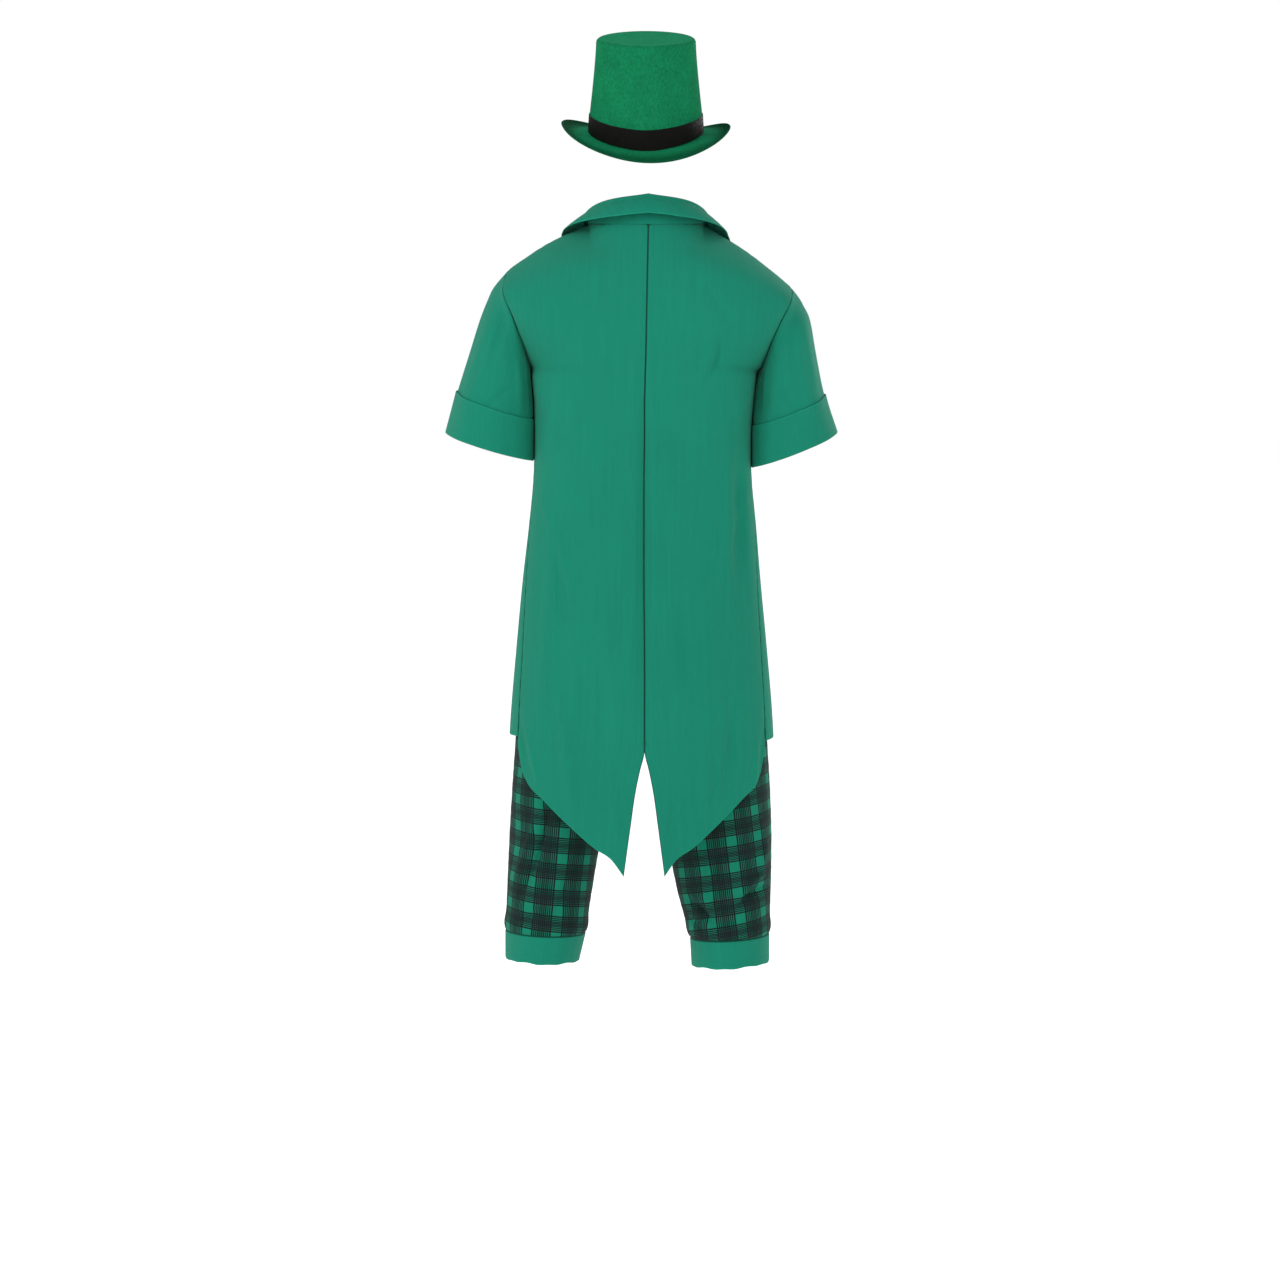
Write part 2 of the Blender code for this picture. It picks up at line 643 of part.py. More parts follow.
def finished(name, finish, mesh):
    """A named object with its material from a bmesh."""
    data = bpy.data.meshes.new(name)
    mesh.to_mesh(data)
    mesh.free()
    data.shade_smooth()
    data.materials.append(material(finish))
    piece = bpy.data.objects.new(name, data)
    bpy.context.scene.collection.objects.link(piece)
    return piece


def material(finish):
    """The plain material of a finish."""
    if finish in bpy.data.materials:
        return bpy.data.materials[finish]
    made = bpy.data.materials.new(finish)
    made.use_nodes = True
    shader = made.node_tree.nodes["Principled BSDF"]
    shader.inputs["Base Color"].default_value = FINISHES[finish][0]
    shader.inputs["Roughness"].default_value = FINISHES[finish][1]
    return made


def cloth_wall(name, grid, sign, tube=False, finish="coat cloth", lift=0.0):
    """A wall of coat or breeches cloth whose middle lies on the grid, or higher by the lift."""
    return wall(name, finish, grid, sign, lift - CLOTH / 2, lift + CLOTH / 2, tube)


def make_coat():
    """The coat's body, sleeves, collar and lapels."""
    for side, word in ((1, "left"), (-1, "right")):
        cloth_wall(f"coat_back_{word}", back_grid(side), side)
        cloth_wall(f"coat_front_{word}", front_grid(side), -side)
        cloth_wall(f"lapel_{word}", lapel_grid(side), -side, lift=CLOTH + LAY)
        sleeve = sleeve_grid(side)
        cloth_wall(f"sleeve_{word}", sleeve, -side, tube=True)
        cuff = sleeve[-CUFF_ROWS:]
        cloth_wall(f"sleeve_cuff_{word}", cuff, -side, tube=True, lift=CLOTH + SEAM)
    cloth_wall("collar", collar_grid(), -1)


def make_button(name, height):
    """A plain round button on the front, in the middle."""
    centre = body(1, "front", 0.0, (height - UNDERARM) / LEVEL)
    mesh = bmesh.new()
    depth = BUTTON_THICK
    bmesh.ops.create_cone(mesh, cap_ends=True, segments=16, radius1=BUTTON_RADIUS,
                          radius2=BUTTON_RADIUS * 0.86, depth=depth)
    piece = finished(name, "button", mesh)
    piece.rotation_euler = (math.radians(90), 0, 0)
    lift = CLOTH / 2 + 2 * SEAM + depth / 2
    piece.location = (0.0, centre[1] - lift, height)
    return piece


def make_breeches():
    """The four leg panels, the waistband and the knee bands."""
    for side, word in ((1, "left"), (-1, "right")):
        for part, sign in (("back", side), ("front", -side)):
            cloth_wall(f"breeches_{part}_{word}", leg_grid(side, part), sign, finish="check cloth")
        cloth_wall(f"knee_band_{word}", knee_band_grid(side), side, tube=True, lift=BAND_PROUD)
    cloth_wall("waistband", waist_band_grid(), 1, tube=True)


def make_hat():
    """The crown, its ribbon and the brim."""
    crown = crown_grid()
    wall("hat_crown", "felt", crown, 1, -FELT / 2, FELT / 2, tube=True, capped=True)
    band = FELT / 2 + SEAM
    wall("hat_band", "ribbon", crown[1:3], 1, band, band + RIBBON, tube=True)
    wall("hat_brim", "felt", brim_grid(), -1, -FELT / 2, FELT / 2, tube=True)


def main():
    for old in list(bpy.data.objects):
        bpy.data.objects.remove(old, do_unlink=True)
    make_coat()
    for number, height in enumerate(BUTTON_HEIGHTS, 1):
        make_button(f"button_{number}", height)
    make_breeches()
    make_hat()


main()
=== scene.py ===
"""The looks of a Saint Patrick's Day costume: felt top hat, tailcoat and checked knee breeches.

Metres, +Z up. The front of the costume faces -Y and +X is its left. The origin is the nape. Each
piece of cloth is a thin wall on a surface worked out from short tables of sections, with its soft
creases laid on it and its weave, check or nap in a procedural material.
"""

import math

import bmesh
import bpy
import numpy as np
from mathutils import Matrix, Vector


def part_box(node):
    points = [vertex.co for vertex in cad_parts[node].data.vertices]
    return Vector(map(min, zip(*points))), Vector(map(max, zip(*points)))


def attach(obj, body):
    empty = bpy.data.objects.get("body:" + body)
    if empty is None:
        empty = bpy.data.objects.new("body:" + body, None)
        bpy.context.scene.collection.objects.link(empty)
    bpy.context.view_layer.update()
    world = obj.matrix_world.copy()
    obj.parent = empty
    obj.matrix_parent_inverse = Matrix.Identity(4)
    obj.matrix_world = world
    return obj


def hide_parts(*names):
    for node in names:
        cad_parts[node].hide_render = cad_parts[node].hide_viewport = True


bl_info = {
    "name": "Saint Patrick's Day Costume",
    "version": (1, 0, 0),
    "blender": (4, 5, 0),
    "location": "View3D > Sidebar > Costume",
    "description": "Makes a felt top hat, a tailcoat and checked knee breeches as if worn",
    "category": "Add Mesh",
}

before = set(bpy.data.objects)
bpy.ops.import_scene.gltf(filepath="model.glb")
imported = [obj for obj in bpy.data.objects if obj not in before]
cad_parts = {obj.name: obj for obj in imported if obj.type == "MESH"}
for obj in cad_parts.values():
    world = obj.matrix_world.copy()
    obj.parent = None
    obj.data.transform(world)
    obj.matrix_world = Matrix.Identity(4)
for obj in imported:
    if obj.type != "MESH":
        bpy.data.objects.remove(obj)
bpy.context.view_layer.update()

# Thickness of the materials, and the gaps between pieces
CLOTH = 0.0016
FELT = 0.0024
RIBBON = 0.0010
SEAM = 0.0003
LAY = 0.0009  # from a front to the lapel that lies on it
SLEEVE_GAP = 0.0002  # from the trunk to a sleeve that is pressed against it
SIDES = ((1, "left"), (-1, "right"))

# The edges of a wall: the distances of its extra lines from the edge, and the share of half the
# thickness that the outer and the inner face keep at each. At a seam the outer face sinks in,
# and a tucked edge goes on under the piece that it is sewn to.
EDGES = {
    "hem": (
        (0.00003, 0.20, 0.20),
        (0.00018, 0.60, 0.60),
        (0.00045, 0.88, 0.88),
        (0.00080, 0.98, 0.98),
        (0.00130, 1.00, 1.00),
    ),
    "seam": (
        (-0.00040, -0.70, 0.85),
        (0.00030, -0.45, 0.97),
        (0.00090, 0.35, 1.00),
        (0.00160, 0.85, 1.00),
        (0.00240, 1.00, 1.00),
    ),
    "tuck": (
        (-0.00320, -1.30, 1.80),
        (-0.00080, -1.10, 1.35),
        (0.00030, -0.45, 1.00),
        (0.00120, 0.45, 1.00),
        (0.00240, 1.00, 1.00),
    ),
}

# The coat's trunk. Rows go up from the tips of the tails.
# height, left side, right side, back, front, centre seam, fullness, angle of the side seam
TRUNK = (
    (-1.020, 0.218, 0.205, 0.038, -0.226, 0.002, 2.3, 64.0),
    (-0.900, 0.217, 0.204, 0.037, -0.226, 0.002, 2.3, 64.0),
    (-0.798, 0.214, 0.201, 0.035, -0.226, 0.002, 2.3, 65.0),
    (-0.649, 0.202, 0.189, 0.031, -0.224, 0.002, 2.3, 68.0),
    (-0.555, 0.193, 0.180, 0.025, -0.221, 0.003, 2.3, 72.0),
    (-0.460, 0.182, 0.172, 0.020, -0.219, 0.003, 2.5, 78.0),
    (-0.397, 0.176, 0.166, 0.020, -0.219, 0.003, 2.7, 82.0),
    (-0.330, 0.174, 0.165, 0.025, -0.222, 0.002, 2.9, 86.0),
    (-0.276, 0.175, 0.168, 0.031, -0.225, 0.002, 3.0, 89.0),
    (-0.235, 0.178, 0.172, 0.035, -0.226, 0.001, 3.0, 90.0),
    (-0.200, 0.181, 0.176, 0.038, -0.226, 0.001, 3.0, 90.0),
)
SIDE_DEPTH = -0.090  # where the trunk is widest, from front to back
HIP = -0.795
UNDERARM = -0.235
LEVEL = 0.035  # the height of one level of the trunk, counted from the underarm
TOP_LEVEL = 5
FRONT_TOP_LEVEL = 4.985  # a hair below the shoulder seam

# The shoulders, one row a level above the underarm.
# centre height, centre depth, edge height left, edge left, edge height right, edge right,
# edge depth, fullness, centre seam
YOKE_BACK = (
    (-0.205, 0.037, -0.207, 0.183, -0.215, 0.182, -0.048, 2.6, 0.000),
    (-0.150, 0.038, -0.150, 0.203, -0.162, 0.203, -0.014, 2.6, -0.001),
    (-0.098, 0.032, -0.106, 0.221, -0.123, 0.223, -0.018, 2.2, -0.002),
    (-0.050, 0.019, -0.080, 0.219, -0.104, 0.228, -0.051, 1.7, -0.003),
)
YOKE_FRONT = (
    (-0.205, -0.224, -0.207, 0.183, -0.215, 0.182, -0.140, 2.5, 0.000),
    (-0.150, -0.216, -0.150, 0.198, -0.160, 0.199, -0.163, 2.4, -0.001),
    (-0.098, -0.200, -0.108, 0.215, -0.123, 0.219, -0.156, 2.1, -0.002),
    (-0.050, -0.172, -0.081, 0.217, -0.104, 0.226, -0.124, 1.8, -0.003),
)
NECK = (0.088, -0.075, 0.003)  # the left end of the neck seam at the shoulder
NECK_SHARE = 0.31  # the share of the back's width that the neck takes
NECK_BLEND = 0.36  # how soon the shoulder's slope runs on over the seam beside the neck
ARMHOLE_TURN = 66.0  # how far round a shoulder's section has come at the armhole, in degrees
NAPE_SEAM = -0.004
SHOULDER_LEFT = (0.213, -0.088, -0.067)
SHOULDER_RIGHT = (-0.227, -0.088, -0.095)
SHOULDER_RISE = 0.006

# Broad folds in the trunk: angle from the centre back, its half width, top, bottom, depth
FOLDS_LEFT = (
    (24.0, 7.0, -0.60, -0.86, -0.0035),
    (46.0, 8.0, -0.42, -0.82, 0.0030),
    (118.0, 8.0, -0.40, -0.85, -0.0030),
    (150.0, 9.0, -0.30, -0.62, 0.0025),
)
FOLDS_RIGHT = (
    (54.0, 8.0, -0.30, -0.62, -0.0040),
    (30.0, 8.0, -0.52, -0.88, 0.0030),
    (112.0, 9.0, -0.36, -0.80, -0.0030),
    (148.0, 8.0, -0.44, -0.85, 0.0025),
)

# The tails: share of the back's width, and height of the hem there
TAIL_HEM = (
    (0.13, -1.007),
    (0.21, -0.981),
    (0.31, -0.965),
    (0.51, -0.926),
    (0.70, -0.890),
    (0.85, -0.866),
    (0.94, -0.838),
    (1.00, -0.801),
)
TIP = -1.007
# The slit between the tails: height, and share of the back's width that is left open
SLIT = (
    (-1.007, 0.133),
    (-0.927, 0.088),
    (-0.874, 0.056),
    (-0.838, 0.024),
    (-0.820, 0.004),
    (-0.813, 0.000),
    (-0.795, 0.000),
)
SLIT_TOP = -0.816
# The front edge: level, and share of the front's width, below 0 where it passes the middle
FRONT_EDGE = (
    (-16.0, -0.050),
    (-8.0, -0.050),
    (-3.2, -0.050),
    (-2.0, -0.012),
    (0.0, 0.078),
    (1.0, 0.110),
    (2.0, 0.150),
    (3.0, 0.190),
    (4.0, 0.245),
    (5.0, 0.310),
)
OVERLAP_LIFT = 0.0028
HEM_LOW = 0.0070  # how much lower the right front's hem hangs at the side
HEM_LOW_TOP = -0.70

# The collar, from the middle of the back, 0, over the shoulder seam, 1, to the notch, 2.
# station, roll in, roll up, fall out, fall down
COLLAR = (
    (0.0, 0.014, 0.046, 0.022, 0.030),
    (0.5, 0.007, 0.035, 0.030, 0.026),
    (1.0, 0.002, 0.016, 0.046, 0.009),
    (1.5, 0.001, 0.012, 0.050, 0.003),
    (2.0, 0.001, 0.009, 0.052, 0.001),
)
ROLL = 0.0042
COLLAR_LIES = 0.30  # the share of the front's width that shows how the collar lies there
COLLAR_START = 0.0004
COLLAR_TUCK = 0.0030  # how far the stand goes down inside the neck seam
COLLAR_END = 3.3
STAND_INSIDE = 0.0009  # how far the stand goes in front of the neck seam behind the neck
FALL_CURVE = 0.0016  # how far the fall bows outwards between the roll and its edge

# The lapel: level of the front edge, and width as a share of the front's width
LAPEL = (
    (-1.5, 0.010),
    (-0.5, 0.120),
    (1.0, 0.265),
    (2.2, 0.335),
    (3.26, 0.350),
)
NOTCH = 0.55
BUTTON_HEIGHTS = (-0.385, -0.485, -0.585)
BUTTON_RADIUS = 0.0105
BUTTON_THICK = 0.0032
BUTTON_RIM = 0.0006
BUTTON_INSETS = ((0.0020, 0.0), (0.0007, -0.0007), (0.0030, -0.0003))  # width and depth of each

# The stitches at the top of the slit: slope in degrees, and height over the tack's middle
STITCHES = ((30, 0.0018), (14, 0.0006), (-4, -0.0006), (-18, -0.0018))
STITCH_LENGTH = 0.0058
STITCH_SHORTER = 0.0005  # how much shorter each stitch is than the one above it
STITCH_RADIUS = 0.00042
STITCH_BOW = 0.0007
STITCH_END = 0.0002
TACK_DROP = 0.006  # from the hip down to the tack

# The sleeves, from near the armhole to the hem, in the front view.
# outer side, outer height, inner side, inner height, half depth, middle depth, back drop
SLEEVE_LEFT = (
    (0.243, -0.106, 0.1855, -0.243, 0.073, -0.089, 0.000),
    (0.258, -0.143, 0.1845, -0.252, 0.075, -0.090, 0.002),
    (0.276, -0.199, 0.1825, -0.272, 0.076, -0.093, 0.006),
    (0.2945, -0.257, 0.1820, -0.300, 0.077, -0.096, 0.007),
    (0.312, -0.319, 0.1830, -0.362, 0.078, -0.100, 0.005),
)
SLEEVE_RIGHT = (
    (0.245, -0.121, 0.1840, -0.246, 0.073, -0.089, 0.000),
    (0.2565, -0.146, 0.1825, -0.255, 0.075, -0.090, 0.002),
    (0.2665, -0.200, 0.1790, -0.278, 0.076, -0.093, 0.005),
    (0.2795, -0.262, 0.1745, -0.310, 0.077, -0.096, 0.007),
    (0.2985, -0.319, 0.1735, -0.373, 0.078, -0.100, 0.005),
)
# The soft ridge of a sleeve: height, turn and half its width round the sleeve, row and half its rows
SLEEVE_RIDGE = (0.004, 2.26, 0.5, 2.0, 3.0)
CUFF_TOP = 3.0  # the row of the table where the turned-up cuff ends
CUFF_FLARE = 0.0009  # how far the cuff's upper edge stands off
CUFF_HANG = 0.0006  # how far the cuff's fold hangs below the sleeve's hem
SLEEVE_BOXY = 0.35  # how square the sleeve's section is beside the body
SLEEVE_PRESS = 0.0130  # how far the sleeve's inner side may be drawn in to touch the body

# The breeches. Rows go up from the knee.
# height, side, axis, half depth, middle depth
LEG_LEFT = (
    (-1.098, 0.2210, 0.1580, 0.074, -0.082),
    (-1.031, 0.2180, 0.1510, 0.077, -0.084),
    (-0.955, 0.2145, 0.1420, 0.083, -0.087),
    (-0.880, 0.2100, 0.1290, 0.090, -0.090),
    (-0.815, 0.2055, 0.1105, 0.097, -0.092),
    (-0.780, 0.2030, 0.1015, 0.101, -0.093),
    (-0.720, 0.1980, 0.0500, 0.105, -0.094),
    (-0.650, 0.1900, 0.0120, 0.104, -0.095),
    (-0.590, 0.1740, 0.0000, 0.098, -0.096),
    (-0.545, 0.1580, 0.0000, 0.092, -0.098),
)
LEG_RIGHT = (
    (-1.102, 0.1945, 0.1325, 0.074, -0.082),
    (-1.034, 0.1970, 0.1235, 0.077, -0.084),
    (-0.955, 0.1980, 0.1160, 0.083, -0.087),
    (-0.880, 0.1955, 0.1090, 0.090, -0.090),
    (-0.815, 0.1915, 0.1010, 0.097, -0.092),
    (-0.780, 0.1890, 0.0945, 0.101, -0.093),
    (-0.720, 0.1850, 0.0460, 0.105, -0.094),
    (-0.650, 0.1790, 0.0110, 0.104, -0.095),
    (-0.590, 0.1680, 0.0000, 0.098, -0.096),
    (-0.545, 0.1580, 0.0000, 0.092, -0.098),
)
CROTCH_GAP = 0.0004
INSEAM_GAP = 0.0002
KNEE_DROP = {1: (0.0062, 0.0048), -1: (0.0080, 0.0070)}  # how far the knee seam hangs and slopes
KNEE_DROP_TOP = -0.86
KNEE_BAND = 0.044
KNEE_TAPER = {1: 0.085, -1: 0.020}
KNEE_WAVES = ((0.0008, 5, 0.7), (0.0006, 11, 2.0))  # height, count and start of each wave
BLOUSE = 0.0024  # how far the legs swell out over the knee bands
BLOUSE_HEIGHT = 0.012
WAIST_BAND = 0.036

# The hat, in its own frame: origin in the middle of the crown's base, before it is tilted.
# height, half width, half length
CROWN = (
    (0.000, 0.0884, 0.1000),
    (0.030, 0.0867, 0.0982),
    (0.065, 0.0831, 0.0946),
    (0.100, 0.0797, 0.0912),
    (0.130, 0.0772, 0.0888),
    (0.1515, 0.0761, 0.0878),
)
CROWN_TOP = 0.1515
CROWN_CORNER = 0.0050  # the radius of the crown's top edge
CROWN_DIP = 0.0012  # how far the flat top sinks in its middle
BAND_BASE = 0.0022
BAND_TOP = 0.0310
BAND_DIP = 0.0026  # how far the band hangs down at the middle of the back
BAND_DIP_TURN = 0.42
# The brim: share of its width, run outwards, rise at the sides, rise at front and back
BRIM = (
    (0.00, 0.0000, 0.0000, 0.0000),
    (0.35, 0.0172, 0.0000, -0.0040),
    (0.65, 0.0312, 0.0026, -0.0080),
    (0.85, 0.0404, 0.0072, -0.0100),
    (1.00, 0.0446, 0.0130, -0.0105),
)
BRIM_GAP = -0.0012  # the brim's inner edge goes through the crown's wall
BRIM_WAVES = ((0.0035, 1, 0.0), (0.0008, 3, 0.6))  # height, count and start of each wave
SADDLE = 0.0062  # how far the crown's base rises at the sides and sinks at front and back
HAT_PLACE = (-0.0003, -0.105, 0.1414)
HAT_TILT = 14.0

# The creases of a cloth that faces the back or the front.
# start x, start z, end x, end z, bow aside, half width, depth, lean to one side
CREASES_BACK = (
    (0.002, -0.200, 0.003, -0.812, 0.0000, 0.016, -0.0036, 0.0),
    (0.001, -0.140, 0.002, -0.800, 0.0000, 0.0045, -0.0014, 0.0),
    (-0.112, -0.160, -0.094, -0.242, 0.0070, 0.008, -0.0026, 0.5),
    (-0.099, -0.170, -0.080, -0.250, 0.0060, 0.010, 0.0014, -0.3),
    (-0.146, -0.330, -0.143, -0.590, -0.0030, 0.013, -0.0030, 0.3),
    (-0.126, -0.350, -0.121, -0.560, 0.0030, 0.012, 0.0016, 0.0),
    (-0.196, -0.180, -0.152, -0.330, 0.0090, 0.010, -0.0026, 0.4),
    (-0.178, -0.200, -0.140, -0.300, 0.0060, 0.009, 0.0013, 0.0),
    (0.205, -0.150, 0.158, -0.310, -0.0090, 0.010, -0.0028, -0.4),
    (0.186, -0.190, 0.142, -0.300, -0.0060, 0.010, 0.0014, 0.0),
    (0.170, -0.395, 0.108, -0.610, 0.0050, 0.014, 0.0018, 0.2),
    (0.150, -0.430, 0.126, -0.640, 0.0030, 0.010, -0.0016, 0.3),
    (-0.165, -0.400, -0.116, -0.520, -0.0040, 0.012, 0.0014, 0.0),
    (0.090, -0.080, 0.150, -0.150, 0.0040, 0.014, -0.0012, 0.0),
    (-0.085, -0.085, -0.150, -0.165, -0.0050, 0.014, -0.0013, 0.0),
    (0.071, -0.640, 0.068, -0.830, 0.0030, 0.016, -0.0024, 0.2),
    (-0.056, -0.560, -0.066, -0.790, 0.0030, 0.015, -0.0016, -0.2),
    (0.186, -0.785, 0.170, -0.868, 0.0020, 0.007, 0.0024, 0.3),
    (0.198, -0.760, 0.186, -0.850, 0.0020, 0.007, -0.0018, 0.0),
    (-0.172, -0.800, -0.166, -0.880, 0.0020, 0.007, 0.0024, -0.3),
    (-0.186, -0.770, -0.178, -0.860, 0.0000, 0.008, -0.0018, 0.0),
    (0.130, -0.720, 0.108, -0.930, -0.0030, 0.016, 0.0026, 0.0),
    (-0.135, -0.700, -0.118, -0.920, 0.0040, 0.015, -0.0026, 0.3),
    (-0.095, -0.760, -0.080, -0.960, 0.0030, 0.015, 0.0022, 0.0),
    (0.055, -0.840, 0.040, -0.985, 0.0000, 0.012, 0.0018, 0.0),
    (-0.045, -0.850, -0.038, -0.985, 0.0000, 0.011, -0.0016, 0.0),
)
CREASES_FRONT = (
    (0.010, -0.392, 0.120, -0.352, 0.0060, 0.009, -0.0022, 0.3),
    (-0.010, -0.392, -0.112, -0.345, -0.0060, 0.009, -0.0020, -0.3),
    (0.012, -0.490, 0.128, -0.512, -0.0050, 0.010, -0.0020, 0.2),
    (-0.012, -0.488, -0.120, -0.520, 0.0060, 0.010, -0.0022, 0.0),
    (0.012, -0.590, 0.104, -0.668, -0.0060, 0.011, -0.0020, 0.2),
    (-0.012, -0.592, -0.098, -0.660, 0.0060, 0.010, -0.0018, -0.2),
    (0.128, -0.240, 0.110, -0.430, 0.0080, 0.014, -0.0026, 0.3),
    (-0.132, -0.250, -0.106, -0.440, -0.0080, 0.014, -0.0028, -0.3),
    (0.186, -0.180, 0.140, -0.290, -0.0080, 0.011, -0.0024, 0.3),
    (-0.188, -0.190, -0.142, -0.300, 0.0080, 0.011, -0.0026, -0.3),
    (0.070, -0.610, 0.078, -0.810, 0.0040, 0.016, 0.0026, 0.0),
    (-0.062, -0.600, -0.074, -0.810, 0.0040, 0.016, 0.0028, 0.0),
    (0.118, -0.640, 0.126, -0.810, 0.0020, 0.014, -0.0026, 0.2),
    (-0.110, -0.650, -0.120, -0.810, 0.0030, 0.014, -0.0024, 0.2),
    (0.160, -0.560, 0.166, -0.800, 0.0050, 0.014, 0.0024, 0.0),
    (-0.152, -0.540, -0.158, -0.800, -0.0050, 0.014, 0.0022, 0.0),
)
SLEEVE_CREASES_BACK = (
    (0.188, -0.160, 0.176, -0.290, 0.0030, 0.008, -0.0026, 0.3),
    (0.202, -0.185, 0.196, -0.300, 0.0030, 0.009, 0.0016, 0.0),
    (0.218, -0.120, 0.252, -0.225, 0.0080, 0.010, -0.0016, 0.3),
    (0.246, -0.180, 0.284, -0.258, 0.0040, 0.010, -0.0020, 0.0),
    (0.198, -0.250, 0.250, -0.290, -0.0060, 0.009, -0.0018, 0.3),
    (-0.187, -0.165, -0.176, -0.300, -0.0030, 0.008, -0.0026, -0.3),
    (-0.202, -0.180, -0.192, -0.310, 0.0030, 0.010, 0.0016, 0.0),
    (-0.226, -0.135, -0.240, -0.250, -0.0080, 0.010, -0.0018, 0.3),
    (-0.246, -0.180, -0.268, -0.268, -0.0040, 0.010, -0.0018, 0.0),
    (-0.194, -0.255, -0.240, -0.300, 0.0060, 0.009, -0.0018, 0.3),
)
SLEEVE_CREASES_FRONT = (
    (0.190, -0.180, 0.182, -0.300, 0.0030, 0.008, -0.0026, 0.0),
    (0.212, -0.130, 0.246, -0.235, 0.0080, 0.011, -0.0020, 0.3),
    (0.196, -0.240, 0.262, -0.270, -0.0060, 0.010, -0.0022, 0.3),
    (-0.188, -0.185, -0.178, -0.305, 0.0030, 0.008, -0.0026, 0.0),
    (-0.216, -0.140, -0.240, -0.240, -0.0080, 0.011, -0.0020, 0.3),
    (-0.192, -0.245, -0.250, -0.280, 0.0060, 0.010, -0.0022, 0.3),
)
SLEEVE_CREASES = (SLEEVE_CREASES_BACK, SLEEVE_CREASES_FRONT)
LEG_CREASES_BACK = (
    (0.148, -0.880, 0.196, -1.045, 0.0060, 0.0080, -0.0052, 0.5),
    (0.164, -0.885, 0.208, -1.030, 0.0050, 0.0080, 0.0022, 0.0),
    (0.110, -0.960, 0.150, -1.090, 0.0050, 0.0090, -0.0022, 0.3),
    (0.196, -1.090, 0.150, -1.060, 0.0040, 0.0080, -0.0020, 0.0),
    (-0.066, -1.052, -0.108, -1.094, 0.0040, 0.0060, -0.0040, 0.4),
    (-0.078, -1.042, -0.126, -1.074, 0.0040, 0.0070, 0.0020, 0.0),
    (-0.062, -1.078, -0.092, -1.102, 0.0020, 0.0050, -0.0026, 0.0),
    (-0.198, -1.030, -0.140, -1.062, -0.0070, 0.0075, -0.0042, 0.4),
    (-0.194, -1.008, -0.150, -1.036, -0.0050, 0.0080, 0.0022, 0.0),
    (-0.180, -0.930, -0.176, -1.020, 0.0080, 0.0090, 0.0022, 0.0),
    (-0.120, -0.960, -0.104, -1.060, -0.0050, 0.0100, -0.0020, 0.2),
    (0.020, -0.800, 0.120, -0.740, 0.0080, 0.0120, -0.0030, 0.0),
    (-0.020, -0.800, -0.110, -0.745, -0.0080, 0.0120, -0.0030, 0.0),
)
LEG_CREASES_FRONT = (
    (0.020, -0.790, 0.130, -0.735, 0.0080, 0.0120, -0.0032, 0.0),
    (-0.020, -0.790, -0.120, -0.740, -0.0080, 0.0120, -0.0032, 0.0),
    (0.030, -0.815, 0.150, -0.800, 0.0060, 0.0110, -0.0026, 0.2),
    (-0.026, -0.815, -0.140, -0.806, -0.0060, 0.0110, -0.0026, 0.2),
    (0.170, -0.860, 0.140, -1.010, 0.0060, 0.0110, -0.0030, 0.3),
    (-0.160, -0.850, -0.132, -1.000, -0.0060, 0.0110, -0.0030, 0.3),
    (0.122, -1.040, 0.170, -1.088, 0.0050, 0.0080, -0.0026, 0.0),
    (-0.112, -1.045, -0.158, -1.090, 0.0050, 0.0080, -0.0026, 0.0),
)
COLLAR_CREASES = (
    (0.030, 0.050, 0.052, 0.004, 0.0030, 0.010, -0.0012, 0.0),
    (-0.034, 0.048, -0.058, 0.000, -0.0030, 0.010, -0.0012, 0.0),
)
NO_CREASES = ()

# The small waves beside a seam, the dip of the seam, and how far off they fade
PUCKER_PITCH = 0.024
PUCKER_DRIFT = 0.071
PUCKER_REACH = 0.009
DIP_SHARE = 2.5
DIP_REACH = 0.0045
EDGE_REACH = 0.06  # how far from an edge its distance is kept for the materials
LEG_PUCKER = 0.0003

# How the cut of the check cloth leans on each leg, in degrees, and where its first stripes lie
CHECK_LEAN = {1: 5.0, -1: 7.0}
CHECK_START = {1: (0.0040, 0.0030), -1: (0.0160, 0.0180)}

# The sett of the check, from the middle of its dark band outwards: distance in mm, darkness
SETT_ACROSS = (
    (0.00, 0.62),
    (0.90, 1.00),
    (2.40, 0.55),
    (3.80, 1.00),
    (5.60, 0.28),
    (6.90, 1.00),
    (8.60, 0.28),
    (10.00, 1.00),
    (11.70, 0.20),
    (13.10, 1.00),
    (15.50, 0.00),
)
SETT_DOWN = (
    (0.00, 0.64),
    (0.60, 1.00),
    (1.90, 0.56),
    (2.70, 1.00),
    (4.10, 0.28),
    (5.00, 1.00),
    (6.40, 0.28),
    (7.70, 1.00),
    (9.20, 0.20),
    (10.50, 1.00),
    (12.70, 0.00),
)

# The lines of each cloth's grid
NECK_COLUMNS = 22
SHOULDER_COLUMNS = 46
FRONT_COLUMNS = 62
LAPEL_COLUMNS = 26
LAPEL_ROWS = 62
STAND_STEPS = 9
ROLL_STEPS = 9
FALL_STEPS = 15
COLLAR_BACK_STATIONS = 26
COLLAR_FRONT_STATIONS = 24
TAIL_ROWS = 46
TRUNK_ROWS = 112
YOKE_STEPS = 10
SLEEVE_STEPS = 12
SLEEVE_HEAD_ROWS = 8
SLEEVE_ROWS = 52
CUFF_ROWS = 16
FOLD_STEPS = 8
LEG_COLUMNS = 56
LEG_ROWS = 120
KNEE_ROWS = 14
WAIST_ROWS = 10
HAT_COLUMNS = 160
CROWN_ROWS = 56
CORNER_STEPS = 9
FLAT_TOP_ROWS = 24
BRIM_ROWS = 20
RIBBON_ROWS = 14

